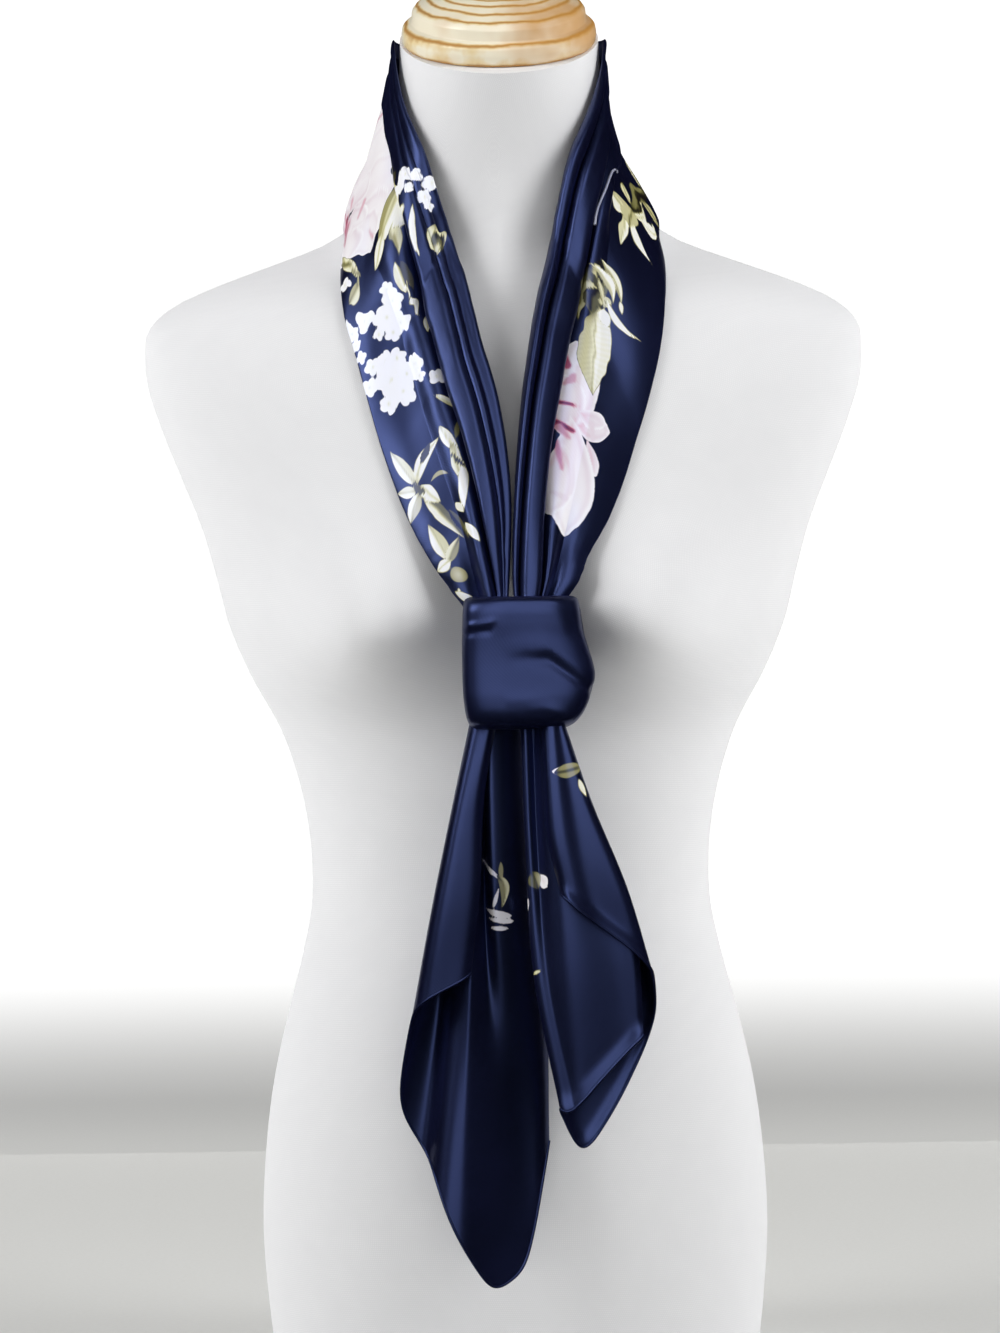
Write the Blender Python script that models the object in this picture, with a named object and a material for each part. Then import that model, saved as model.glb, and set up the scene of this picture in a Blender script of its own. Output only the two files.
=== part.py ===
"""A silk square scarf, folded on the diagonal, laid round the neck of a dress form and
knotted at the bust.  The form is a smooth limbless torso with a turned wooden neck cap.

Frame: +Z up, the form faces -Y, +X is on the right when the form is seen from the front,
and the origin is on the floor under the neck.  The tables are in millimetres."""

import math

import bmesh
import bpy
from mathutils import Vector
from mathutils.bvhtree import BVHTree

MM = 0.001

# ---------------------------------------------------------------- driving sizes

CLOTH_WALL = 1.2          # wall that stands for the folded silk
SEAM_GAP = 0.3            # gap between two stretches of the scarf
CLOTH_CLEARANCE = 2.1     # middle of the cloth wall to the form

FORM_SIDES = 48           # faces round the torso
FORM_EXTRA_LEVELS = (370, 398, 426, 454, 573, 587, 600)  # more sections round bust and shoulders
BASE_ROUNDING = 3.0       # softened edge round the flat underside
NECK_TILT = 22.0          # degrees that the top of the neck leans forward
NECK_TILT_FROM = 660.0    # height where the neck starts to lean
FORM_TOP = 735.5

NECK_CARRIED_UP = 30.0    # for laying the cloth beside the neck cap

BUST_SPREAD = 80.0        # each breast, off the middle
BUST_HEIGHT = 408.0
BUST_REACH = 38.0         # how far it stands forward
BUST_WIDTH = 43.0
BUST_ABOVE = 55.0         # how softly it runs out above and below
BUST_BELOW = 35.0

CAP_SIDES = 40
CAP_GAP = 0.3             # cap to the top of the neck

BAND_ROWS = 62            # rows along the scarf from knot to knot, round the neck
BAND_STEPS = 3            # columns between one fold line and the next
LAY_COLUMNS = 16          # columns used while the band is laid on the form
BACK_STRETCH = ("left nape", "right nape")  # sections where the back stretch starts and ends

KNOT_SIDES = 30
TAIL_ROWS = 15
TAIL_STEPS = 3
TAIL_TOP = 354.5          # just under the knot

SILK_NAVY = (0.012, 0.012, 0.08)


def table(columns, rows):
    """Rows of a short table as dictionaries, keyed by the column's name."""
    return [dict(zip(columns, row)) for row in rows]


# Torso sections, from the underside to the top of the neck.  "power" is the exponent of
# the section's superellipse: 2 is an ellipse, more is squarer, less runs to a point.
FORM_SECTIONS = table(
    ("height", "half_width", "front", "back", "power"),
    (
        (0, 134, 94, 108, 2.3),
        (34, 138, 97, 113, 2.3),
        (76, 140.8, 99, 116, 2.3),      # hips
        (118, 139, 100, 113, 2.3),
        (160, 133.6, 99, 104, 2.3),
        (202, 124, 95, 92, 2.25),
        (230, 116.8, 91, 85, 2.2),
        (258, 111.4, 88, 81, 2.2),
        (279, 110.9, 87, 80, 2.2),      # waist
        (300, 112.6, 88, 81, 2.2),
        (328, 118.2, 91, 85, 2.2),
        (356, 127.7, 94, 90, 2.25),
        (384, 142.8, 98, 94, 2.3),
        (412, 154.8, 101, 97, 2.3),     # bust
        (440, 162, 100, 99, 2.3),
        (468, 170, 97, 100, 2.3),
        (496, 181, 92, 99, 2.25),
        (524, 192, 85, 96, 2.2),
        (552, 200, 76, 91, 2.1),
        (566, 200.5, 71, 87, 2.0),      # shoulder points
        (580, 198, 65, 83, 1.9),
        (594, 181.4, 60, 79, 1.6),
        (605, 155.7, 57, 77, 1.35),
        (616, 125, 55, 75, 1.25),
        (624, 103, 54, 73, 1.3),
        (634, 86, 53, 71, 1.5),
        (646, 73.7, 53.5, 68, 1.75),
        (665, 63.8, 56, 62, 2.0),       # neck
        (690, 59, 61, 56, 2.0),
        (715, 56.5, 67, 50, 2.0),
        (735.5, 55.5, 72, 48, 2.0),
    ),
)

# Turned neck cap: height above the top of the neck, and radius.
CAP_PROFILE = table(
    ("height", "radius"),
    (
        (0, 52.4),
        (2, 53.9),
        (6, 54.3),
        (10, 53.6),
        (12, 51.5),
        (13, 48.8),
        (19, 48.2),
        (22, 46.0),
        (24, 41.0),
        (26, 36.5),
        (29, 28.0),
        (31, 16.0),
        (32, 0.0),
    ),
)

# Sections of the neck band, each a line across the scarf from its outer edge, on the
# shoulder and chest, to its inner edge at the neck.  Each edge is given near the form,
# and how far it stands off the form there.  "sag" is how far the middle of the section
# hangs in from a straight line, into the angle of neck and shoulder.
BAND_SECTIONS = table(
    (
        "name", "outer_x", "outer_y", "outer_z", "outer_lift",
        "inner_x", "inner_y", "inner_z", "inner_lift", "sag",
    ),
    (
        ("left knot", -31.0, -112, 425.3, 9, 1.6, -103, 425.0, 17, 0),
        ("left cleft", -43.5, -110, 446, 4, 0.6, -98, 478, 9, 0),
        ("left breast", -53.0, -103, 468, 1, -4.5, -86, 526, 5, 0),
        ("left breast top", -61.0, -94, 490, 0, -13.0, -72, 566, 3, 0),
        ("left chest", -68.0, -86, 512, 0, -20.0, -56, 606, 2, 0),
        ("left upper chest", -74.0, -78, 534, 0, -30.0, -49, 645, 1.5, 1),
        ("left collarbone", -80.0, -69, 557, 0, -38.5, -48, 673, 1.5, 3),
        ("left shoulder", -86.0, -57, 580, 0, -51.5, -33, 703, 2, 8),
        ("left neck side", -89.5, -10, 622, 1.2, -59.0, -6, 738, 0.8, 16),
        ("left neck back", -83.0, 22, 629, 1.5, -54.0, 18, 740, 1.5, 14),
        ("left nape", -62.0, 46, 634, 2, -38.0, 36, 742, 2, 10),
        ("left of the spine", -33.0, 60, 638, 3, -20.0, 46, 744, 3, 6),
        ("nape", 0.0, 67, 640, 3, 0.0, 50, 745, 3, 5),
        ("right of the spine", 33.0, 60, 638, 3, 20.0, 46, 744, 3, 6),
        ("right nape", 62.0, 46, 634, 2, 38.0, 36, 742, 2, 10),
        ("right neck back", 83.0, 22, 629, 1.5, 54.0, 18, 740, 1.5, 14),
        ("right neck side", 89.5, -12, 621, 1.2, 58.5, -7, 737, 0.8, 17),
        ("right shoulder", 88.0, -55, 582, 0, 49.5, -35, 701, 2, 9),
        ("right collarbone", 84.0, -68, 557, 0, 36.5, -49, 672, 1.5, 3),
        ("right upper chest", 78.0, -77, 532, 0, 30.0, -49, 644, 1.5, 1),
        ("right chest", 71.0, -85, 510, 0, 21.5, -56, 605, 2, 0),
        ("right breast top", 64.0, -93, 488, 0, 14.5, -72, 566, 3, 0),
        ("right breast", 55.5, -103, 466, 1, 10.0, -86, 526, 5, 0),
        ("right cleft", 45.5, -110, 445, 4, 5.5, -98, 478, 9, 0),
        ("right knot", 39.5, -112, 425.3, 9, 5.4, -103, 425.0, 17, 0),
    ),
)

# The folds that run along the band.  Each row is one fold line, from the outer edge to
# the inner edge, with a column for each of these sections: first its share of the way
# across the band, then its height over the cloth's lie.
FOLD_PLACES = (
    "left knot", "left breast", "left upper chest", "left neck side", "nape",
    "right neck side", "right upper chest", "right breast", "right knot",
)
FOLD_SHARES = {
    "outer edge": (0, 0, 0, 0, 0, 0, 0, 0, 0),
    "panel crown": (0.20, 0.22, 0.24, 0.24, 0.20, 0.20, 0.20, 0.17, 0.22),
    "panel crease": (0.32, 0.36, 0.40, 0.40, 0.36, 0.38, 0.38, 0.33, 0.44),
    "second crown": (0.44, 0.50, 0.54, 0.54, 0.50, 0.53, 0.54, 0.50, 0.51),
    "roll foot": (0.54, 0.645, 0.655, 0.66, 0.64, 0.66, 0.69, 0.69, 0.58),
    "roll crest": (0.65, 0.765, 0.71, 0.73, 0.75, 0.84, 0.81, 0.83, 0.73),
    "roll valley": (0.81, 0.86, 0.89, 0.90, 0.89, 0.91, 0.905, 0.915, 0.84),
    "inner crest": (0.905, 0.93, 0.94, 0.95, 0.95, 0.955, 0.95, 0.955, 0.92),
    "inner edge": (1, 1, 1, 1, 1, 1, 1, 1, 1),
}
FOLD_HEIGHTS = {
    "outer edge": (0.5, 0, 0, 0, 0, 0, 0, 0, 0.5),
    "panel crown": (4, 3, 3, 3, 3, 3, 3, 3, 4),
    "panel crease": (2, 2, 2, 1, 2, 1, 2, 0.6, 0.5),
    "second crown": (4, 3, 2.5, 2, 3, 2, 3, 3.5, 5),
    "roll foot": (1, 0, 0.5, 0.5, 1, 0.5, 0.6, 1, 1),
    "roll crest": (9, 10, 10, 4.5, 4.5, 4.5, 10, 10, 9),
    "roll valley": (5, 4.5, 4.5, 1.5, 1.5, 1.5, 5, 5, 5),
    "inner crest": (7.5, 7.5, 7, 3.5, 3.5, 3.5, 7, 7.5, 7.5),
    "inner edge": (4, 2, 1, 0.2, 0.5, 0.2, 1, 2, 4),
}

# Knot sections from the bottom to the top: the left and right sides, the front and the
# back, and the superellipse power.
KNOT_SECTIONS = table(
    ("height", "left", "right", "front", "back", "power"),
    (
        (355, -15, 27, -146, -118, 2.2),
        (355.3, -19, 31, -149, -115, 2.3),
        (358, -21.5, 35.5, -152, -113, 2.4),
        (364, -22.8, 39.5, -154, -112, 2.5),
        (372, -23.8, 43.0, -155, -112, 2.5),
        (380.5, -24.3, 45.4, -155, -112, 2.5),
        (391, -24.4, 44.5, -155, -112, 2.5),
        (402, -24.3, 41.6, -154.5, -112, 2.5),
        (412, -24.0, 39.8, -153.5, -113, 2.5),
        (419, -23.4, 38.6, -152, -114, 2.5),
        (423.5, -21.5, 37.0, -149.5, -116, 2.4),
        (425.3, -18.5, 34.5, -146.5, -119, 2.3),
    ),
)
KNOT_DISH = 4.0           # the top is sunk this much where the band runs in
# Creases pressed into the front of the knot: start and end (x, height), depth and half width.
KNOT_CREASES = table(
    ("x", "z", "to_x", "to_z", "depth", "width"),
    (
        (10, 413, 46, 374, 2.6, 4.0),
        (20, 393, 46, 371, 1.6, 3.0),
        (-24, 412, -8, 403, 1.4, 3.0),
        (-24, 366, 20, 359, 1.2, 3.0),
    ),
)

# Fold lines that run down a tail from the knot to its hem, in order along the cloth.
# x and y are given at the knot, a third down, two thirds down and at the hem.
TAIL_COLUMNS = ("name", "x0", "x1", "x2", "x3", "y0", "y1", "y2", "y3", "hem_z")
LONG_TAIL = table(
    TAIL_COLUMNS,
    (
        ("flap inner edge", -3.0, -6.0, -11.0, -18.0, -134, -136, -137, -136, 230),
        ("flap crown", -11.5, -18.0, -28.5, -38.7, -140, -145, -146, -144, 205.4),
        ("left fold", -18.8, -32.0, -46.5, -61.5, -132, -132, -132, -130, 162),
        ("back layer, left", -15.0, -27.0, -38.0, -47.2, -126, -124, -123, -124, 123),
        ("back layer, ridge", -8.5, -15.0, -27.0, -31.0, -127, -129, -131, -130, 84),
        ("tip", -1.0, -5.0, -11.5, -13.2, -124, -122, -122, -125, 55.5),
        ("right of the tip", 4.5, 3.0, 3.5, 5.0, -122, -121, -122, -127, 70),
        ("right soft fold", 9.5, 12.0, 13.5, 12.8, -121, -119, -121, -125, 96.9),
        ("right edge", 13.7, 17.5, 20.0, 18.2, -118, -116, -117, -120, 136.6),
    ),
)
SHORT_TAIL = table(
    TAIL_COLUMNS,
    (
        ("flap inner edge", 11.0, 15.5, 21.0, 28.0, -145, -149, -151, -150, 267.7),
        ("flap crown", 20.5, 30.0, 40.5, 49.5, -150, -154, -155, -153, 247.7),
        ("right fold", 28.2, 42.3, 60.0, 73.8, -143, -144, -143, -142, 227),
        ("back layer, right", 28.0, 43.0, 62.0, 76.2, -139, -137, -136, -137, 204),
        ("back layer, hollow", 23.0, 37.5, 55.0, 70.5, -136, -133, -132, -134, 182),
        ("back layer, ridge", 19.0, 28.5, 38.0, 50.0, -137, -138, -140, -139, 147),
        ("tip", 14.5, 19.5, 26.5, 36.1, -134, -134, -135, -138, 129),
        ("left edge", 8.0, 9.2, 11.5, 22.7, -131, -130, -131, -134, 157.8),
    ),
)

# ---------------------------------------------------------------- curves and tables


def smooth_value(places, values, at, flat_turns=False):
    """Value at a place on the smooth curve through a row of values.  With flat_turns the
    curve is level at each highest and lowest value, so that it never passes them."""
    last = len(places) - 1
    k = 0
    while k < last - 1 and at > places[k + 1]:
        k += 1

    def slope(i):
        if i in (0, last):
            j = 0 if i == 0 else last - 1
            return (values[j + 1] - values[j]) / (places[j + 1] - places[j])
        before = (values[i] - values[i - 1]) / (places[i] - places[i - 1])
        after = (values[i + 1] - values[i]) / (places[i + 1] - places[i])
        if flat_turns and before * after <= 0:
            return 0.0
        if flat_turns:
            return 2 * before * after / (before + after)
        run_before, run_after = places[i] - places[i - 1], places[i + 1] - places[i]
        return (before * run_after + after * run_before) / (run_before + run_after)

    run = places[k + 1] - places[k]
    t = min(1.0, max(0.0, (at - places[k]) / run))
    return (
        (2 * t**3 - 3 * t**2 + 1) * values[k]
        + (t**3 - 2 * t**2 + t) * run * slope(k)
        + (3 * t**2 - 2 * t**3) * values[k + 1]
        + (t**3 - t**2) * run * slope(k + 1)
    )


def superellipse(turn, power):
    """Point of a unit superellipse at a turn, in radians."""
    c, s = math.cos(turn), math.sin(turn)
    return (
        math.copysign(abs(c) ** (2 / power), c),
        math.copysign(abs(s) ** (2 / power), s),
    )


def grid_mesh(rows, closed=False):
    """Bmesh of quads over rows of points, in millimetres; a closed grid joins up round."""
    bm = bmesh.new()
    grid = [[bm.verts.new(point * MM) for point in row] for row in rows]
    count = len(grid[0])
    for low, high in zip(grid, grid[1:]):
        for i in range(count if closed else count - 1):
            j = (i + 1) % count
            bm.faces.new((low[i], low[j], high[j], high[i]))
    return bm, grid


def add_object(name, bm, material, smooth=True):
    """Object of a finished bmesh, with its own material."""
    bmesh.ops.recalc_face_normals(bm, faces=bm.faces)
    mesh = bpy.data.meshes.new(name)
    bm.to_mesh(mesh)
    bm.free()
    obj = bpy.data.objects.new(name, mesh)
    bpy.context.scene.collection.objects.link(obj)
    mesh.materials.append(material)
    if smooth:
        mesh.shade_smooth()
        mesh.set_sharp_from_angle(angle=math.radians(50))
    return obj


def surface(name, color, roughness, sheen=0.0):
    """Principled material with one colour."""
    material = bpy.data.materials.new(name)
    material.use_nodes = True
    shader = material.node_tree.nodes["Principled BSDF"]
    shader.inputs["Base Color"].default_value = (*color, 1.0)
    shader.inputs["Roughness"].default_value = roughness
    shader.inputs["Sheen Weight"].default_value = sheen
    return material


# ---------------------------------------------------------------- dress form


def neck_lean(height):
    """Slope of a section of the neck, level at its foot and leaning forward at the top."""
    share = min(1.0, max(0.0, (height - NECK_TILT_FROM) / (FORM_TOP - NECK_TILT_FROM)))
    return math.tan(math.radians(NECK_TILT * share))


def bust(x, z):
    """How far the bust stands forward of the section at a place on the front."""
    spread = BUST_ABOVE if z > BUST_HEIGHT else BUST_BELOW
    rise = math.exp(-(((z - BUST_HEIGHT) / spread) ** 2))
    return sum(
        BUST_REACH * rise * math.exp(-(((x - side * BUST_SPREAD) / BUST_WIDTH) ** 2))
        for side in (-1, 1)
    )


def form_section(row, raised=0.0):
    """Points round one section of the torso, or a copy of it raised along the neck."""
    middle = (row["back"] - row["front"]) / 2
    points = []
    for i in range(FORM_SIDES):
        across, along = superellipse(2 * math.pi * i / FORM_SIDES, row["power"])
        x = row["half_width"] * across
        y = (row["back"] if along > 0 else row["front"]) * along
        z = row["height"] + (y - middle) * neck_lean(row["height"])
        if y < 0:
            y -= bust(x, z)
        points.append(Vector((x, y - raised * neck_lean(z), z + raised)))
    return points


def form_row(height):
    """Section of the torso at any height, read from the smooth curves through the table."""
    heights = [row["height"] for row in FORM_SECTIONS]
    return {
        column: smooth_value(heights, [row[column] for row in FORM_SECTIONS], height)
        for column in FORM_SECTIONS[0]
    }


def dress_form(neck_carried_up=0.0):
    """Closed torso: skin over the sections, a flat underside and a flat top to the neck.
    The cloth is laid on a torso whose neck is carried on up past the cap."""
    heights = sorted([row["height"] for row in FORM_SECTIONS] + list(FORM_EXTRA_LEVELS))
    rows = [form_section(form_row(height)) for height in heights]
    if neck_carried_up:
        rows.append(form_section(FORM_SECTIONS[-1], neck_carried_up))
    underside = [Vector((p.x * 0.978, p.y * 0.972, 0)) for p in rows[0]]
    rows[0] = [Vector((p.x, p.y, BASE_ROUNDING)) for p in rows[0]]
    bm, grid = grid_mesh([underside] + rows, closed=True)
    bm.faces.new(grid[0])
    bm.faces.new(grid[-1])
    return bm


def neck_cap():
    """Turned wooden cap on the top of the neck, leaning forward with it."""
    top = FORM_SECTIONS[-1]
    centre = Vector((0, (top["back"] - top["front"]) / 2, FORM_TOP))
    lean = math.radians(NECK_TILT)
    ahead = Vector((0, math.cos(lean), math.sin(lean)))
    up = Vector((0, -math.sin(lean), math.cos(lean)))
    side = Vector((1, 0, 0))
    rows = []
    for ring in CAP_PROFILE[:-1]:
        row = []
        for i in range(CAP_SIDES):
            turn = 2 * math.pi * i / CAP_SIDES
            out = side * math.cos(turn) + ahead * math.sin(turn)
            row.append(centre + out * ring["radius"] + up * (CAP_GAP + ring["height"]))
        rows.append(row)
    bm, grid = grid_mesh(rows, closed=True)
    bm.faces.new(grid[0])
    crown = bm.verts.new((centre + up * (CAP_GAP + CAP_PROFILE[-1]["height"])) * MM)
    for i in range(CAP_SIDES):
        bm.faces.new((grid[-1][i], grid[-1][(i + 1) % CAP_SIDES], crown))
    return bm


# ---------------------------------------------------------------- neck band


class FormSurface:
    """The torso as something that cloth is laid on."""

    def __init__(self, bm):
        bm.normal_update()
        self.tree = BVHTree.FromBMesh(bm)

    def distance(self, point):
        """Nearest place on the form, the way out there, and how far out the point is."""
        place, out, _, _ = self.tree.find_nearest(point * MM)
        place = place / MM
        return place, out, (point - place).dot(out)

    def at_lift(self, point, lift):
        """The point, moved to stand just so far off the form."""
        place, out, _ = self.distance(point)
        return place + out * (CLOTH_CLEARANCE + lift)

    def pushed_clear(self, point):
        """The point, moved out where it is nearer the form than the cloth may lie."""
        _, out, height = self.distance(point)
        return point + out * max(0.0, CLOTH_CLEARANCE - height)


def band_places():
    """Distance along the band of each section, read at its middle."""
    places = [0.0]
    middles = [
        Vector([(row[f"outer_{axis}"] + row[f"inner_{axis}"]) / 2 for axis in "xyz"])
        for row in BAND_SECTIONS
    ]
    for a, b in zip(middles, middles[1:]):
        places.append(places[-1] + (b - a).length)
    return places


def band_edge(places, edge, at):
    """Point of the band's outer or inner edge, and its lift off the form."""
    point = Vector(
        [smooth_value(places, [r[f"{edge}_{axis}"] for r in BAND_SECTIONS], at) for axis in "xyz"]
    )
    lift = smooth_value(places, [r[f"{edge}_lift"] for r in BAND_SECTIONS], at, flat_turns=True)
    return point, lift


def eased(pushes, rounds):
    """Rows of moves, eased both along and across the band."""
    for _ in range(rounds):
        padded = [pushes[0]] + pushes + [pushes[-1]]
        along = [
            [(a + b * 2 + c) / 4 for a, b, c in zip(before, row, after)]
            for before, row, after in zip(padded, padded[1:], padded[2:])
        ]
        pushes = []
        for row in along:
            wide = [row[0]] + row + [row[-1]]
            pushes.append([(a + b * 2 + c) / 4 for a, b, c in zip(wide, wide[1:], wide[2:])])
    return pushes


def laid_band(form, stops):
    """The band's lie on the form without its folds: rows of points across it."""
    places = band_places()
    rows = []
    for stop in stops:
        outer, outer_lift = band_edge(places, "outer", stop * places[-1])
        inner, inner_lift = band_edge(places, "inner", stop * places[-1])
        outer, inner = form.at_lift(outer, outer_lift), form.at_lift(inner, inner_lift)
        sag = smooth_value(places, [r["sag"] for r in BAND_SECTIONS], stop * places[-1], flat_turns=True)
        row = []
        for i in range(LAY_COLUMNS + 1):
            share = i / LAY_COLUMNS
            point = outer.lerp(inner, share)
            _, out, _ = form.distance(point)
            row.append(point - out * sag * 4 * share * (1 - share))
        rows.append(row)
    for _ in range(2):
        pushes = [[form.pushed_clear(point) - point for point in row] for row in rows]
        pushes = eased(pushes, 2)
        rows = [[a + b for a, b in zip(row, push)] for row, push in zip(rows, pushes)]
    return [[form.pushed_clear(point) for point in row] for row in rows]


def share_along(name):
    """A section's share of the way along the band."""
    places = band_places()
    names = [row["name"] for row in BAND_SECTIONS]
    return places[names.index(name)] / places[-1]


def fold_line(name, stop):
    """One fold's share of the way across the band and its height, at a share along it."""
    stations = [share_along(place) for place in FOLD_PLACES]
    return (
        smooth_value(stations, FOLD_SHARES[name], stop, flat_turns=True),
        smooth_value(stations, FOLD_HEIGHTS[name], stop, flat_turns=True),
    )


def folded_row(row, outs, stop):
    """Points of the cloth across the band: its lie, raised along the folds' profile."""
    lines = [fold_line(name, stop) for name in FOLD_SHARES]
    order = list(range(len(lines)))
    points = []
    for step in range((len(lines) - 1) * BAND_STEPS + 1):
        at = step / BAND_STEPS
        share = smooth_value(order, [line[0] for line in lines], at, flat_turns=True)
        height = smooth_value(order, [line[1] for line in lines], at, flat_turns=True)
        place = share * LAY_COLUMNS
        i = min(LAY_COLUMNS - 1, int(place))
        lie = row[i].lerp(row[i + 1], place - i)
        out = outs[i].lerp(outs[i + 1], place - i).normalized()
        points.append(lie + out * height)
    return points


def outward(rows):
    """Direction out of the cloth at each point of the laid band."""
    outs = []
    for r, row in enumerate(rows):
        before, after = rows[max(0, r - 1)], rows[min(len(rows) - 1, r + 1)]
        line = []
        for i in range(len(row)):
            across = row[min(len(row) - 1, i + 1)] - row[max(0, i - 1)]
            line.append(across.cross(after[i] - before[i]).normalized())
        outs.append(line)
    return outs


def band_stretches(form):
    """Rows of the folded cloth for the left side, the back and the right side.  The whole
    band is laid at once, so the three stretches run on into each other at their gaps."""
    gap = SEAM_GAP / 2 / band_places()[-1]
    back_start, back_end = [share_along(name) for name in BACK_STRETCH]
    spans = ((0.0, back_start - gap), (back_start + gap, back_end - gap), (back_end + gap, 1.0))
    counts = [round(BAND_ROWS * (end - start)) for start, end in spans]
    stops = []
    for (start, end), count in zip(spans, counts):
        stops += [start + (end - start) * k / count for k in range(count + 1)]
    rows = laid_band(form, stops)
    folded = [folded_row(row, outs, stop) for row, outs, stop in zip(rows, outward(rows), stops)]
    stretches = []
    for count in counts:
        stretches.append(folded[: count + 1])
        folded = folded[count + 1:]
    return stretches


def cloth_object(name, rows, material):
    """Rows of points as a cloth wall, thickened evenly to both sides."""
    bm, _ = grid_mesh(rows)
    obj = add_object(name, bm, material)
    wall = obj.modifiers.new("Cloth wall", "SOLIDIFY")
    wall.thickness = CLOTH_WALL * MM
    wall.offset = 0.0
    return obj


# ---------------------------------------------------------------- knot and tails


def crease_depth(x, z):
    """Depth of the creases pressed into the front of the knot."""
    depth = 0.0
    for crease in KNOT_CREASES:
        start = Vector((crease["x"], crease["z"]))
        run = Vector((crease["to_x"], crease["to_z"])) - start
        share = min(1.0, max(0.0, (Vector((x, z)) - start).dot(run) / run.length_squared))
        off = (Vector((x, z)) - start - run * share).length / crease["width"]
        depth += crease["depth"] * math.exp(-(off**2))
    return depth


def knot_section(row, scale=1.0, sink=0.0):
    """Points round one section of the knot, creased on its front."""
    half_width = (row["right"] - row["left"]) / 2
    half_depth = (row["back"] - row["front"]) / 2
    middle_x = (row["right"] + row["left"]) / 2
    middle_y = (row["back"] + row["front"]) / 2
    centre = Vector((middle_x, middle_y, row["height"] - sink))
    points = []
    for i in range(KNOT_SIDES):
        across, along = superellipse(2 * math.pi * i / KNOT_SIDES, row["power"])
        offset = Vector((half_width * across, half_depth * along, 0)) * scale
        point = centre + offset
        if along < 0.3 and scale == 1.0:
            point -= offset.normalized() * crease_depth(point.x, point.z)
        points.append(point)
    return points


def knot():
    """The knot: wrapped cloth, closed below and sunk on top where the band runs in."""
    rows = [knot_section(row) for row in KNOT_SECTIONS]
    top = KNOT_SECTIONS[-1]
    rows.append(knot_section(top, scale=0.84, sink=KNOT_DISH * 0.5))
    rows.append(knot_section(top, scale=0.70, sink=KNOT_DISH))
    bm, grid = grid_mesh(rows, closed=True)
    bm.faces.new(grid[0])
    bm.faces.new(grid[-1])
    return bm


def tail_rows(columns):
    """Rows of points down a tail: a smooth curve across its fold lines at each level."""
    order = list(range(len(columns)))
    thirds = (0, 1 / 3, 2 / 3, 1)
    rows = []
    for r in range(TAIL_ROWS + 1):
        down = r / TAIL_ROWS
        x = [smooth_value(thirds, [c["x0"], c["x1"], c["x2"], c["x3"]], down) for c in columns]
        y = [smooth_value(thirds, [c["y0"], c["y1"], c["y2"], c["y3"]], down) for c in columns]
        z = [TAIL_TOP + (c["hem_z"] - TAIL_TOP) * down for c in columns]
        row = []
        for step in range((len(columns) - 1) * TAIL_STEPS + 1):
            at = step / TAIL_STEPS
            row.append(Vector([smooth_value(order, values, at) for values in (x, y, z)]))
        rows.append(row)
    return rows


# ---------------------------------------------------------------- assembly


def build():
    for old in list(bpy.data.objects):
        bpy.data.objects.remove(old, do_unlink=True)

    add_object("dress_form", dress_form(), surface("Linen cover", (0.78, 0.78, 0.76), 0.85, 0.2))
    add_object("neck_cap", neck_cap(), surface("Turned pine", (0.80, 0.55, 0.30), 0.45))

    form = FormSurface(dress_form(NECK_CARRIED_UP))
    names = ("collar_left", "scarf_back", "collar_right")
    for name, rows in zip(names, band_stretches(form)):
        cloth_object(name, rows, surface(f"Silk {name}", SILK_NAVY, 0.35, 0.4))

    add_object("knot", knot(), surface("Silk knot", SILK_NAVY, 0.35, 0.4))
    for name, columns in (("tail_long", LONG_TAIL), ("tail_short", SHORT_TAIL)):
        cloth_object(name, tail_rows(columns), surface(f"Silk {name}", SILK_NAVY, 0.35, 0.4))


build()
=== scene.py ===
# Silk square scarf on a dress form: the fine cloth, its print, its hems and all finishes.
# Sizes are in millimetres until a mesh is made; the frame's +Z is up and the form faces -Y.

import math

import bmesh
import bpy
import numpy as np
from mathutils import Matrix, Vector
from mathutils.bvhtree import BVHTree


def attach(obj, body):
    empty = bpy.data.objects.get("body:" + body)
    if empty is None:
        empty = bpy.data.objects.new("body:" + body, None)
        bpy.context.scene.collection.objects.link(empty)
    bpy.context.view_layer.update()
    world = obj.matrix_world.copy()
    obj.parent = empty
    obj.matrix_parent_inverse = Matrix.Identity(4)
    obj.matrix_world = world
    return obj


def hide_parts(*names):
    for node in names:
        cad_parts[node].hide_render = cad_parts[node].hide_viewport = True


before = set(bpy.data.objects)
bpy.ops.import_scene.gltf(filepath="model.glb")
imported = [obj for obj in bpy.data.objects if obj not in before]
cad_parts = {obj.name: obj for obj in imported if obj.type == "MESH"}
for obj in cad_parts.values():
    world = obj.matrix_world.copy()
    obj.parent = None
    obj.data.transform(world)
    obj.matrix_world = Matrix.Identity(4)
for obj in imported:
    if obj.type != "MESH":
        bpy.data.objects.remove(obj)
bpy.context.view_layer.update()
mm = 0.001


def table(columns, rows):
    return [dict(zip(columns, row)) for row in rows]


def column(rows, *names):
    # one column of a table, or several side by side
    return [row[names[0]] if len(names) == 1 else [row[name] for name in names] for row in rows]


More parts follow.
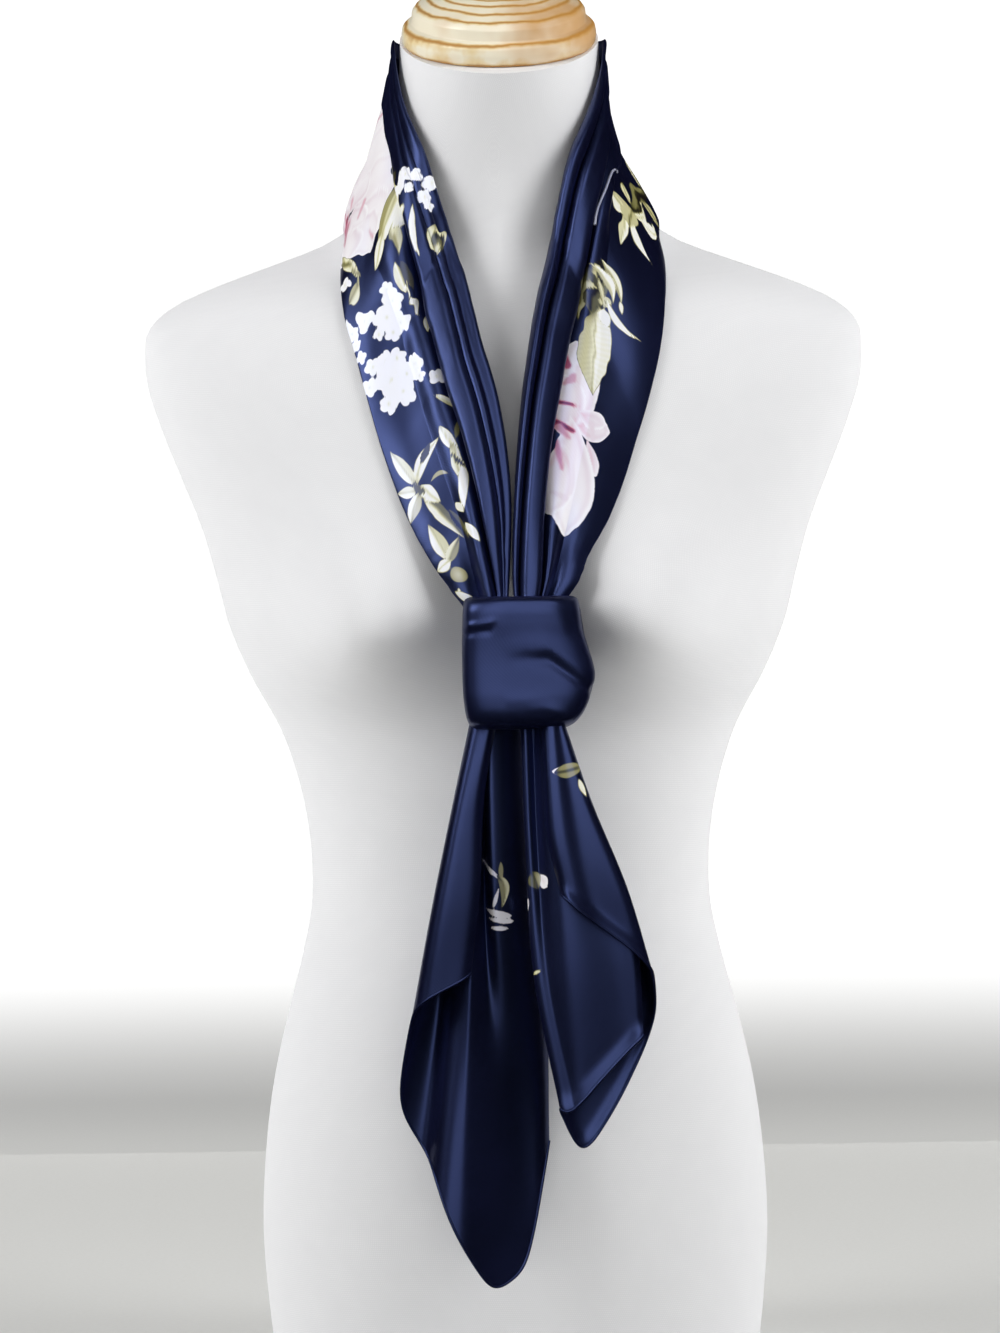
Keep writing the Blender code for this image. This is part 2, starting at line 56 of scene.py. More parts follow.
def smoothCurve(places, values, at, flatTurns=False):
    # smooth curve through a row of values or points; with flatTurns it is level at each high and low
    places, values, at = np.asarray(places, float), np.asarray(values, float), np.asarray(at, float)
    each = (1,) * (values.ndim - 1)
    runs = np.diff(places).reshape(-1, *each)
    rises = np.diff(values, axis=0) / runs
    before, after = rises[:-1], rises[1:]
    if flatTurns:
        both = np.where(before * after > 0, before + after, 1.0)
        inner = np.where(before * after > 0, 2 * before * after / both, 0.0)
    else:
        inner = (before * runs[1:] + after * runs[:-1]) / (runs[1:] + runs[:-1])
    slopes = np.concatenate([rises[:1], inner, rises[-1:]])
    k = np.clip(np.searchsorted(places, at, side="left") - 1, 0, len(places) - 2)
    t = np.clip((at - places[k]) / np.diff(places)[k], 0.0, 1.0).reshape(*at.shape, *each)
    return (
        (2 * t**3 - 3 * t**2 + 1) * values[k]
        + (t**3 - 2 * t**2 + t) * runs[k] * slopes[k]
        + (3 * t**2 - 2 * t**3) * values[k + 1]
        + (t**3 - t**2) * runs[k] * slopes[k + 1]
    )


def smoothStep(value, low, high):
    t = np.clip((value - low) / (high - low), 0.0, 1.0)
    return t * t * (3 - 2 * t)


def superellipse(turn, power):
    c, s = np.cos(turn), np.sin(turn)
    return np.copysign(np.abs(c) ** (2 / power), c), np.copysign(np.abs(s) ** (2 / power), s)


def placedGrid(points):
    # a grid of quads with its points placed in rows
    rows, columns = points.shape[0] - 1, points.shape[1] - 1
    bm = bmesh.new()
    bmesh.ops.create_grid(bm, x_segments=columns, y_segments=rows, size=0.5)
    for vert in bm.verts:
        i, j = round((vert.co.y + 0.5) * rows), round((vert.co.x + 0.5) * columns)
        vert.co = Vector(points[i, j] * mm)
        vert.index = i * (columns + 1) + j
    bm.verts.sort()
    return bm


def smoothObject(name, bm, material):
    mesh = bpy.data.meshes.new(name)
    bm.to_mesh(mesh)
    bm.free()
    mesh.materials.append(material)
    mesh.shade_smooth()
    made = bpy.data.objects.new(name, mesh)
    bpy.context.scene.collection.objects.link(made)
    return made


def newPiece(name, bm, material, smoothAngle=80):
    piece = smoothObject(name, bm, material)
    piece.data.set_sharp_from_angle(angle=math.radians(smoothAngle))
    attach(piece, "root")
    return piece


def closeUp(piece):
    # the seam down a tube of cloth joined, and its open ends filled
    bm = bmesh.new()
    bm.from_mesh(piece.data)
    bmesh.ops.remove_doubles(bm, verts=bm.verts, dist=0.01 * mm)
    bmesh.ops.holes_fill(bm, edges=[edge for edge in bm.edges if edge.is_boundary], sides=0)
    bmesh.ops.recalc_face_normals(bm, faces=bm.faces)
    bm.to_mesh(piece.data)
    bm.free()


def giveUv(piece, u, v):
    # the cloth's own flat coordinates in metres, given for each vertex
    mesh = piece.data
    layer = mesh.uv_layers.new(name="flatCloth")
    loops = np.empty(len(mesh.loops), np.int64)
    mesh.loops.foreach_get("vertex_index", loops)
    flat = np.stack([u.ravel()[loops], v.ravel()[loops]], axis=1) * mm
    layer.data.foreach_set("uv", flat.astype(np.float32).ravel())


def giveValues(piece, name, values):
    attribute = piece.data.attributes.new(name, "FLOAT", "POINT")
    attribute.data.foreach_set("value", values.astype(np.float32).ravel())


def arcLengths(points, axis):
    # distance along the rows or columns of a grid, from its first line
    steps = np.linalg.norm(np.diff(points, axis=axis), axis=2)
    zero = np.zeros_like(np.take(steps, [0], axis=axis))
    return np.concatenate([zero, np.cumsum(steps, axis=axis)], axis=axis)


def hexColor(code):
    # sRGB hex to the linear values that nodes take
    channels = [int(code[i:i + 2], 16) / 255 for i in (1, 3, 5)]
    return tuple(c / 12.92 if c <= 0.04045 else ((c + 0.055) / 1.055) ** 2.4 for c in channels) + (1.0,)


def addNode(material, kind, settings=None, out=0, **links):
    # one node with its settings, its inputs linked or set by name or number, and its output
    node = material.node_tree.nodes.new("ShaderNode" + kind)
    for key, value in (settings or {}).items():
        setattr(node, key, value)
    for key, value in links.items():
        numbered = key[0] == "i" and key[1:].isdigit()
        socket = node.inputs[int(key[1:]) if numbered else key.replace("_", " ")]
        if isinstance(value, bpy.types.NodeSocket):
            material.node_tree.links.new(value, socket)
        else:
            socket.default_value = value
    return node.outputs[out]


def newMaterial(name):
    material = bpy.data.materials.new(name)
    material.use_nodes = True
    material.node_tree.nodes.clear()
    return material


def finishMaterial(material, shader):
    output = material.node_tree.nodes.new("ShaderNodeOutputMaterial")
    material.node_tree.links.new(shader, output.inputs["Surface"])
    return material


def addRamp(material, factor, stops):
    color = addNode(material, "ValToRGB", i0=factor)
    elements = color.node.color_ramp.elements
    while len(elements) < len(stops):
        elements.new(0.5)
    for element, (position, code) in zip(elements, stops):
        element.position = position
        element.color = hexColor(code)
    return color


def noiseScale(size):
    # for noise with patches of about this size in mm
    return 1 / (size * mm)


def waveScale(spacing):
    # for waves this many mm apart: at a scale of 1 they are 0.314 m apart
    return 0.314 / (spacing * mm)


silk = {
    "ground": "#090a1c", "groundLight": "#0c0d24",
    "gloss": "#869cf0",      # the fibres tint their own highlights
    "sheen": "#4a4ab0",
    "roughness": 0.37,
    "threadSpacing": 0.9,    # mm; real satin threads are 0.1 mm apart, drawn coarser to show
    "threadDepth": 0.3,      # mm
    "patchSize": 35.7,       # mm, slow changes in the dye
    "ruffleSize": 2.63,      # mm, how the ink's edges wander on the weave
}
# The inks of the print, from dark to light, and how dark each is round its rim.
inks = {
    "petal": ((0.0, "#6e1c30"), (0.25, "#c4607a"), (0.5, "#e6b9c4"), (0.72, "#f0e4e8"), (0.95, "#fffcfc")),
    "leaf": ((0.0, "#1d180a"), (0.3, "#6d6a32"), (0.52, "#b9b273"), (0.78, "#e9e6b8"), (1.0, "#fbfaee")),
    "blossom": ((0.0, "#8a8748"), (0.4, "#e2e0bc"), (0.8, "#f8f8ee"), (1.0, "#ffffff")),
}
inkRims = {"petal": 0.9, "leaf": 0.35, "blossom": 0.9}


def silkSatin(name, printed, dyes=(silk["ground"], silk["groundLight"])):
    # woven silk satin: a smooth float weave, so broad soft highlights run along each fold
    material = newMaterial(name)
    flat = addNode(material, "UVMap", {"uv_map": "flatCloth"})
    cloudy = addNode(material, "TexNoise", Vector=flat, Scale=noiseScale(silk["patchSize"]), Detail=2.0)
    color = addRamp(material, cloudy, [(0.3, dyes[0]), (0.7, dyes[1])])
    if printed:
        ruffle = addNode(material, "TexNoise", Vector=flat, Scale=noiseScale(silk["ruffleSize"]), Detail=1.0)
        for layer, stops in inks.items():
            edge, rim, tone = [
                addNode(material, "Attribute", {"attribute_name": layer + kind}, "Fac")
                for kind in ("Edge", "Rim", "Tone")
            ]
            wander = addNode(material, "Math", {"operation": "MULTIPLY_ADD"}, i0=ruffle, i1=0.5, i2=-0.25)
            rough = addNode(material, "Math", {"operation": "ADD"}, i0=edge, i1=wander)
            mask = addNode(
                material, "MapRange", {"interpolation_type": "SMOOTHSTEP"},
                Value=rough, From_Min=-0.25, From_Max=0.25,
            )
            within = addNode(
                material, "MapRange", {"interpolation_type": "SMOOTHSTEP"},
                Value=rim, From_Min=0.0, From_Max=0.5, To_Min=inkRims[layer], To_Max=1.0,
            )
            shade = addNode(material, "Math", {"operation": "MULTIPLY"}, i0=tone, i1=within)
            ink = addRamp(material, shade, stops)
            color = addNode(material, "Mix", {"data_type": "RGBA"}, 2, i0=mask, i6=color, i7=ink)
    threads = addNode(
        material, "TexWave", {"wave_type": "BANDS", "bands_direction": "DIAGONAL"}, 1,
        Vector=flat, Scale=waveScale(silk["threadSpacing"]), Distortion=0.4,
    )
    bump = addNode(material, "Bump", Strength=0.05, Distance=silk["threadDepth"] * mm, Height=threads)
    tangent = addNode(material, "Tangent", {"direction_type": "UV_MAP", "uv_map": "flatCloth"})
    shader = addNode(
        material, "BsdfPrincipled", Base_Color=color, Roughness=silk["roughness"], IOR=1.7,
        Normal=bump, Tangent=tangent, Anisotropic=0.25,
        Specular_IOR_Level=1.0, Specular_Tint=hexColor(silk["gloss"]),
        Sheen_Weight=0.05, Sheen_Roughness=0.4, Sheen_Tint=hexColor(silk["sheen"]),
    )
    return finishMaterial(material, shader)


linen = {
    "light": "#f0f0f1", "dark": "#e5e5e7",
    "threadSpacing": 1.1,    # mm, real linen is 0.5
    "threadDepth": 0.4,      # mm
    "slubSize": 16.7,        # mm, thick and thin stretches of thread
}


def linenCover(name):
    # plain woven linen pulled tight over the torso: matt, with a fine even thread
    material = newMaterial(name)
    flat = addNode(material, "UVMap", {"uv_map": "flatCloth"})
    scale = waveScale(linen["threadSpacing"])
    across, along = [
        addNode(material, "TexWave", {"bands_direction": axis}, 1, Vector=flat, Scale=scale, Distortion=1.0)
        for axis in "XY"
    ]
    weave = addNode(material, "Math", {"operation": "MULTIPLY"}, i0=across, i1=along)
    slub = addNode(material, "TexNoise", Vector=flat, Scale=noiseScale(linen["slubSize"]), Detail=4.0)
    mixed = addNode(material, "Math", {"operation": "MULTIPLY"}, i0=weave, i1=slub)
    color = addRamp(material, mixed, [(0.0, linen["dark"]), (0.6, linen["light"])])
    bump = addNode(material, "Bump", Strength=0.12, Distance=linen["threadDepth"] * mm, Height=weave)
    shader = addNode(
        material, "BsdfPrincipled", Base_Color=color, Roughness=0.85, Normal=bump, Sheen_Weight=0.15
    )
    return finishMaterial(material, shader)


pine = {
    "pale": "#f5ecd4", "mid": "#ead3a0", "dark": "#bd8a45", "knotty": "#cb9040",
    "ringSpacing": 7.0,              # mm, as all of these
    "ringDepth": 0.3,
    "patchSize": 45.5,               # of darker wood
    "heartwood": (-50.0, 60.0),      # x from the pale side to the golden one
    "foot": (0.0, -12.5, 737.0),     # the rings' middle
    "lean": 20.0,                    # degrees that their axis leans forward
}


def turnedPine(name):
    # lathe-turned pine under clear lacquer: rings round the cap's own axis, golden heartwood on one side
    material = newMaterial(name)
    place = addNode(material, "TexCoord", None, "Object")
    grain = addNode(
        material, "Mapping", {"vector_type": "TEXTURE"},
        Vector=place, Location=Vector(pine["foot"]) * mm, Rotation=(math.radians(pine["lean"]), 0, 0),
    )
    rings = addNode(
        material, "TexWave", {"wave_type": "RINGS", "rings_direction": "Z"}, 1,
        Vector=grain, Scale=waveScale(pine["ringSpacing"]), Distortion=2.2, Detail=3.0, Detail_Scale=1.2,
    )
    ringed = addRamp(
        material, rings, [(0.0, pine["pale"]), (0.5, pine["pale"]), (0.8, pine["mid"]), (1.0, pine["dark"])]
    )
    cloudy = addNode(material, "TexNoise", Vector=grain, Scale=noiseScale(pine["patchSize"]), Detail=3.0)
    side = addNode(material, "SeparateXYZ", Vector=place)
    start, end = pine["heartwood"]
    heart = addNode(
        material, "MapRange", Value=side, From_Min=start * mm, From_Max=end * mm, To_Min=-0.12, To_Max=0.16
    )
    darker = addNode(material, "Math", {"operation": "ADD"}, i0=cloudy, i1=heart)
    patches = addNode(
        material, "MapRange", {"interpolation_type": "SMOOTHSTEP"},
        Value=darker, From_Min=0.38, From_Max=0.78, To_Min=0.0, To_Max=0.8,
    )
    color = addNode(
        material, "Mix", {"data_type": "RGBA"}, 2, i0=patches, i6=ringed, i7=hexColor(pine["knotty"])
    )
    bump = addNode(material, "Bump", Strength=0.08, Distance=pine["ringDepth"] * mm, Height=rings)
    shader = addNode(
        material, "BsdfPrincipled", Base_Color=color, Roughness=0.38, Normal=bump,
        Coat_Weight=0.4, Coat_Roughness=0.2,
    )
    return finishMaterial(material, shader)


printedSilk = silkSatin("Printed silk satin", True)
plainSilk = silkSatin("Navy silk satin", False)
hemSilk = silkSatin("Pale silk rolled hem", False, ("#8f92a6", "#c4c6d2"))
coverLinen = linenCover("Woven linen cover")
capPine = turnedPine("Turned lacquered pine")
print("materials made")

torso = {
    "sides": 144,            # faces round
    "rowStep": 5.0,          # mm from one row of faces to the next
    "baseRounding": 3.0,     # softened edge round the flat underside
    "underside": (0.978, 0.972, 0),    # its flat face, as shares of the lowest ring
    "neckTilt": 22.0,        # degrees that the top of the neck leans forward
    "neckTiltFrom": 660.0,   # height where the neck starts to lean
    "top": 735.5,
    "bustSpread": 80.0,      # each breast, off the middle
    "bustHeight": 408.0,
    "bustReach": 38.0,       # how far it stands forward
    "bustWidth": 43.0,
    "bustAbove": 55.0,       # how softly it runs out above and below
    "bustBelow": 35.0,
}
torsoSections = table(("height", "halfWidth", "front", "back", "power"), (
    (0, 134, 94, 108, 2.3),
    (34, 138, 97, 113, 2.3),
    (76, 140.8, 99, 116, 2.3),      # hips
    (118, 139, 100, 113, 2.3),
    (160, 133.6, 99, 104, 2.3),
    (202, 124, 95, 92, 2.25),
    (230, 116.8, 91, 85, 2.2),
    (258, 111.4, 88, 81, 2.2),
    (279, 110.9, 87, 80, 2.2),      # waist
    (300, 112.6, 88, 81, 2.2),
    (328, 118.2, 91, 85, 2.2),
    (356, 127.7, 94, 90, 2.25),
    (384, 142.8, 98, 94, 2.3),
    (412, 154.8, 101, 97, 2.3),     # bust
    (440, 162, 100, 99, 2.3),
    (468, 170, 97, 100, 2.3),
    (496, 181, 92, 99, 2.25),
    (524, 192, 85, 96, 2.2),
    (552, 200, 76, 91, 2.1),
    (566, 200.5, 71, 87, 2.0),      # shoulder points
    (580, 198, 65, 83, 1.9),
    (594, 181.4, 60, 79, 1.6),
    (605, 155.7, 57, 77, 1.35),
    (616, 125, 55, 75, 1.25),
    (624, 103, 54, 73, 1.3),
    (634, 86, 53, 71, 1.5),
    (646, 73.7, 53.5, 68, 1.75),
    (665, 63.8, 56, 62, 2.0),       # neck
    (690, 59, 61, 56, 2.0),
    (715, 56.5, 67, 50, 2.0),
    (735.5, 55.5, 72, 48, 2.0),
))


def neckLean(height):
    share = np.clip((height - torso["neckTiltFrom"]) / (torso["top"] - torso["neckTiltFrom"]), 0, 1)
    return np.tan(np.radians(torso["neckTilt"] * share))


def bustReach(x, z):
    spread = np.where(z > torso["bustHeight"], torso["bustAbove"], torso["bustBelow"])
    rise = torso["bustReach"] * np.exp(-(((z - torso["bustHeight"]) / spread) ** 2))
    return sum(
        rise * np.exp(-(((x - side * torso["bustSpread"]) / torso["bustWidth"]) ** 2)) for side in (-1, 1)
    )


def torsoRing(height, raised=0.0):
    # points round the torso at a height, or round its neck carried on up past its top
    halfWidth, front, back, power = smoothCurve(
        column(torsoSections, "height"), column(torsoSections, "halfWidth", "front", "back", "power"), height
    )
    turn = np.linspace(0, 2 * math.pi, torso["sides"] + 1)
    across, along = superellipse(turn, power)
    x = halfWidth * across
    y = np.where(along > 0, back, front) * along
    z = height + (y - (back - front) / 2) * neckLean(height)
    y = np.where(y < 0, y - bustReach(x, z), y)
    return np.stack([x, y - raised * neckLean(z), z + raised], axis=1)


def torsoGrid(neckCarriedUp=0.0):
    steps = round(torso["top"] / torso["rowStep"])
    heights = np.linspace(0, torso["top"], steps + 1)
    rings = [torsoRing(height) for height in heights]
    if neckCarriedUp:
        rings.append(torsoRing(torso["top"], neckCarriedUp))
    underside = rings[0] * torso["underside"]
    rings[0] = rings[0] + (0, 0, torso["baseRounding"])
    return np.array([underside] + rings)


coverPoints = torsoGrid()
cover = newPiece("torso_cover", placedGrid(coverPoints), coverLinen)
giveUv(cover, arcLengths(coverPoints, 1), arcLengths(coverPoints, 0))
closeUp(cover)
cover.data.set_sharp_from_angle(angle=math.radians(50))
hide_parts("dress_form")
print("dress form made")

cap = {
    "gap": 0.3,              # cap to the top of the neck
    "sides": 128,
    "cornerRound": 0.7,
}
capProfile = table(("radius", "height"), (
    (52.4, 0),
    (53.9, 2),
    (54.3, 6),
    (53.6, 10),
    (51.5, 12),
    (48.8, 13),
    (48.2, 19),
    (46.0, 22),
    (41.0, 24),
    (36.5, 26),
    (28.0, 29),
    (16.0, 31),
    (0, 32),
))


def turnedCap():
    top = torsoSections[-1]
    lean = math.radians(torso["neckTilt"])
    up = Vector((0, -math.sin(lean), math.cos(lean)))
    foot = Vector((0, (top["back"] - top["front"]) / 2, top["height"])) + up * cap["gap"]
    bm = bmesh.new()
    start = [bm.verts.new((0, 0, 0))]
    start += [bm.verts.new((row["radius"] * mm, 0, row["height"] * mm)) for row in capProfile]
    edges = [bm.edges.new(pair) for pair in zip(start, start[1:])]
    bmesh.ops.bevel(
        bm, geom=start[2:-1], offset=cap["cornerRound"] * mm, affect="VERTICES",
        segments=3, profile=0.5, material=-1,
    )
    bmesh.ops.spin(
        bm, geom=list(bm.verts) + list(bm.edges), axis=(0, 0, 1), cent=(0, 0, 0),
        angle=2 * math.pi, steps=cap["sides"], use_merge=True,
    )
    bmesh.ops.remove_doubles(bm, verts=bm.verts, dist=0.005 * mm)
    bmesh.ops.recalc_face_normals(bm, faces=bm.faces)
    turned = up.to_track_quat("Z", "Y").to_matrix()
    bmesh.ops.rotate(bm, verts=bm.verts, matrix=turned)
    bmesh.ops.translate(bm, verts=bm.verts, vec=foot * mm)
    return bm


neckCap = newPiece("turned_cap", turnedCap(), capPine, 40)
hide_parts("neck_cap")
print("neck cap made")

band = {
    "rowStep": 0.9,          # mm from row to row
    "columns": (24, 26, 12, 12, 8, 8, 4, 4, 6, 6),    # between one fold line and the next
    "thickness": 0.6,        # of the folded silk at its edges
    "clearance": 2.1,        # middle of the cloth to the form
    "layRows": 150,
    "layColumns": 16,
    "neckCarriedUp": 30.0,   # for laying the cloth beside the cap
    "rollLean": 0.15,        # how far the roll leans out over the panel, per mm of its height
    "leanFrom": 1.5,         # over this height
    # how each crest is rounded: 2 is a round fold, higher is flatter on top with steeper sides
    "crestPowers": {
        "panel crown": 3.2, "second crown": 3.2, "roll crest": 4.6, "small ridge": 1.9, "inner crest": 2.3,
    },
}
# Sections of the band, each a line across it from its outer edge, on the shoulder and chest,
# to its inner edge at the neck.  Each edge is given near the form, with its lift off the form.
bandSections = table((
    "name", "outerX", "outerY", "outerZ", "outerLift", "innerX", "innerY", "innerZ", "innerLift", "sag",
), (
    ("left, in the knot", -19.0, -112, 412.0, 12, 2.6, -103, 411.0, 24, 0),
    ("left knot", -31.0, -112, 425.3, 9, 2.4, -103, 425.0, 17, 0),
    ("left cleft", -43.5, -110, 446, 4, 3.0, -98, 478, 15, 0),
    ("left breast", -53.0, -103, 468, 1, -2.6, -86, 526, 13, 0),
    ("left breast top", -61.0, -94, 490, 0, -13.0, -72, 566, 11.5, 0),
    ("left chest", -68.0, -86, 512, 0, -21.0, -56, 605, 10, 0),
    ("left upper chest", -74.0, -78, 534, 0, -30.5, -49, 643, 7.5, 1),
    ("left collarbone", -80.0, -69, 557, 0, -39.5, -48, 672, 4.5, 3),
    ("left shoulder", -86.5, -54, 582, 0, -51.5, -33, 703, 2, 8),
    ("left shoulder top", -88.5, -30, 614, 0.8, -56.5, -21, 721, 1.2, 5),
    ("left neck side", -82.5, -6, 626, 1.2, -59.0, -6, 738, 0.8, 4),
    ("left neck back", -78.0, 22, 631, 1.5, -54.0, 18, 740, 1.5, 8),
    ("left nape", -62.0, 46, 634, 2, -38.0, 36, 742, 2, 10),
    ("left of the spine", -33.0, 60, 638, 3, -20.0, 46, 744, 3, 6),
    ("nape", 0.0, 67, 640, 3, 0.0, 50, 745, 3, 5),
    ("right of the spine", 33.0, 60, 638, 3, 20.0, 46, 744, 3, 6),
    ("right nape", 62.0, 46, 634, 2, 38.0, 36, 742, 2, 10),
    ("right neck back", 78.0, 22, 631, 1.5, 54.0, 18, 740, 1.5, 13),
    ("right neck side", 82.0, -6, 626, 1.2, 57.5, -9, 736, 0.8, 10),
    ("right shoulder top", 89.0, -30, 612, 0.8, 54.5, -24, 719, 1.2, 9),
    ("right shoulder", 88.0, -50, 585, 0, 47.5, -37, 700, 1.6, 8),
    ("right collarbone", 84.5, -68, 557, 0, 35.5, -50, 670, 4.5, 3),
    ("right upper chest", 78.0, -77, 532, 0, 28.5, -50, 641, 7.5, 1),
    ("right chest", 71.0, -85, 510, 0, 21.5, -56, 603, 10, 0),
    ("right breast top", 64.0, -93, 488, 0, 14.5, -72, 565, 11.5, 0),
    ("right breast", 55.5, -103, 466, 1, 8.8, -86, 526, 13, 0),
    ("right cleft", 45.5, -110, 445, 4, 4.8, -98, 478, 15, 0),
    ("right knot", 39.5, -112, 425.3, 9, 4.6, -103, 425.0, 17, 0),
    ("right, in the knot", 28.0, -112, 412.0, 12, 6.0, -103, 411.0, 24, 0),
))
# Each stretch of the band that stands for one node, from one section to another.
bandStretches = table(("name", "node", "start", "end"), (
    ("band_left", "collar_left", "left, in the knot", "left nape"),
    ("band_back", "scarf_back", "left nape", "right nape"),
    ("band_right", "collar_right", "right nape", "right, in the knot"),
))
# The folds that run along the band: each row is one fold line, from the outer edge to the
# inner edge, with how far across it is in percent and its height over the lie, at these sections.
foldPlaces = (
    "left knot", "left cleft", "left breast", "left chest", "left upper chest", "left shoulder",
    "left neck side", "nape", "right neck side", "right shoulder", "right upper chest", "right chest",
    "right breast", "right cleft", "right knot",
)
foldShares = {
    "outer edge": (0,) * 15,
    "panel crown": (22, 20, 20, 22, 22, 22, 22, 22, 22, 25, 25, 25, 20, 16, 20),
    "panel crease": (45, 42, 40, 40, 40, 38, 36, 38, 40, 60, 50, 42, 36, 32, 39.5),
    "second crown": (65, 55, 53, 52, 53, 50, 48, 50, 44.5, 63, 65, 56, 50, 46, 47),
    "roll foot": (80, 65.8, 64, 63.4, 66.5, 69, 66, 64, 70, 74, 68.8, 68.6, 67, 61, 54.6),
    "roll crest": (86, 78.5, 77.2, 76.8, 76.8, 78.5, 76.5, 77, 83, 86, 82.5, 84, 83.5, 80, 78),
    "roll valley": (90.5, 85, 83.5, 84.5, 83, 83.5, 82.5, 84, 90, 91.2, 88.2, 90, 90.5, 89.5, 90.5),
    "small ridge": (92.5, 88, 87, 87.5, 86, 87, 87, 87, 90.2, 91.35, 88.35, 90.15, 90.65, 89.65, 90.65),
    "small groove": (94.5, 90.5, 89.5, 90, 90, 91, 92, 91, 90.4, 91.5, 88.5, 90.3, 90.8, 89.8, 90.8),
    "inner crest": (97.5, 95.5, 95, 95, 95, 95.5, 96, 96, 96.5, 96.7, 95, 95.8, 96, 96, 96),
    "inner edge": (100,) * 15,
}
foldHeights = {
    "outer edge": (0.5, 0.3, 0, 0, 0, 0, 0, 0.3, 0, 0, 0, 0, 0, 0.3, 0.5),
    "panel crown": (3, 2.5, 2, 2, 2, 2.5, 3, 2, 3, 2.2, 1.8, 1.5, 1.5, 1.8, 2.2),
    "panel crease": (0.2, 1.2, 2.4, 2.4, 2.2, 2.0, 1.2, 1.5, 0.6, 0.2, 1.4, 1.6, 1.2, 0.3, 0.1),
    "second crown": (7, 5.5, 4.6, 4.6, 4.6, 3.2, 1.4, 2.5, 1.6, 5.0, 4.2, 3.6, 3.4, 4.4, 5.5),
    "roll foot": (2, 0, 0, 0, 0, 0.3, 0.7, 1, 0.5, 0, 0, 0, 0, 0, 0.2),
    "roll crest": (5, 8.5, 9, 8.5, 7, 3, 1.4, 3.5, 2.2, 6.5, 8, 8.5, 9, 8.5, 8),
    "roll valley": (3, 4.6, 5.2, 5.0, 4.0, 1.8, 0.6, 2, 0.5, 0.5, 0.8, 1.0, 1.0, 1.0, 1.0),
    "small ridge": (4.5, 5.4, 5.8, 5.6, 4.6, 2.2, 0.9, 2.2, 0.55, 0.55, 0.85, 1.05, 1.05, 1.05, 1.05),
    "small groove": (3.4, 3.9, 3.9, 3.7, 3.0, 1.2, 0.3, 1.5, 0.5, 0.5, 0.8, 1.0, 1.0, 1.0, 1.0),
    "inner crest": (4.8, 2.6, 2.0, 2.0, 2.0, 2.4, 1.3, 3, 1.6, 5, 7, 7.5, 7.5, 7, 6.5),
    "inner edge": (3, 1.2, 0.2, 0.2, 0.2, 0.3, 0.2, 0.5, 0.2, 0.3, 0.3, 0.5, 1, 2, 3),
}
# How tightly the cloth is pinched on the outer and inner side of each hollow, from a soft
# trough at 0 to a sharp crease at 1.
foldPinches = {
    "outer edge": (0.5, 0.5), "panel crease": (0.25, 0.25), "roll foot": (0.45, 1),
    "roll valley": (0.6, 1), "small groove": (1, 1), "inner edge": (1, 1),
}

layMesh = placedGrid(torsoGrid(band["neckCarriedUp"]))
bmesh.ops.remove_doubles(layMesh, verts=layMesh.verts, dist=0.01 * mm)
bmesh.ops.recalc_face_normals(layMesh, faces=layMesh.faces)
layMesh.normal_update()
torsoTree = BVHTree.FromBMesh(layMesh)
layMesh.free()


def offTorso(points):
    # nearest places on the torso, the ways out there, and how far out each point is
    places, outs = np.empty_like(points), np.empty_like(points)
    for i in np.ndindex(points.shape[:-1]):
        place, out, _, _ = torsoTree.find_nearest(Vector(points[i] * mm))
        places[i], outs[i] = place, out
    places /= mm
    return places, outs, np.sum((points - places) * outs, axis=-1)


def eased(moves, rounds):
    # each point of a grid drawn towards its neighbours, a few times over
    for _ in range(rounds):
        for axis in (0, 1):
            ends = [(1, 1) if a == axis else (0, 0) for a in range(moves.ndim)]
            wide = np.pad(moves, ends, mode="edge")
            n = moves.shape[axis]
            parts = [np.take(wide, range(k, k + n), axis=axis) for k in (0, 1, 2)]
            moves = (parts[0] + 2 * parts[1] + parts[2]) / 4
    return moves


def sectionPlaces():
    middles = np.array(
        [[(row[f"outer{a}"] + row[f"inner{a}"]) / 2 for a in "XYZ"] for row in bandSections]
    )
    return np.concatenate([[0], np.cumsum(np.linalg.norm(np.diff(middles, axis=0), axis=1))])


def laidBand(stops):
    # the band's lie on the form without its folds
    places = sectionPlaces()
    edges = []
    for edge in ("outer", "inner"):
        line = smoothCurve(places, column(bandSections, edge + "X", edge + "Y", edge + "Z"), stops)
        lift = smoothCurve(places, column(bandSections, edge + "Lift"), stops, flatTurns=True)
        near, out, _ = offTorso(line)
        edges.append(near + out * (band["clearance"] + lift)[:, None])
    share = np.linspace(0, 1, band["layColumns"] + 1)[None, :, None]
    rows = edges[0][:, None, :] * (1 - share) + edges[1][:, None, :] * share
    sag = smoothCurve(places, column(bandSections, "sag"), stops, flatTurns=True)
    _, outs, _ = offTorso(rows)
    rows = rows - outs * sag[:, None, None] * 4 * share * (1 - share)
    for _ in range(3):
        _, outs, height = offTorso(rows)
        push = outs * np.maximum(0.0, band["clearance"] - height)[..., None]
        rows = rows + eased(push, 3)
    _, outs, height = offTorso(rows)
    return rows + outs * np.maximum(0.0, band["clearance"] - height)[..., None]


def gridNormals(points):
    down, over = np.gradient(points, axis=0), np.gradient(points, axis=1)
    normals = np.cross(over, down)
    return normals / np.linalg.norm(normals, axis=2, keepdims=True)


def placesOf(names):
    places = sectionPlaces()
    return [places[column(bandSections, "name").index(name)] for name in names]


def foldValues(lines, stops):
    return smoothCurve(placesOf(foldPlaces), np.array(list(lines.values())).T, stops, flatTurns=True)


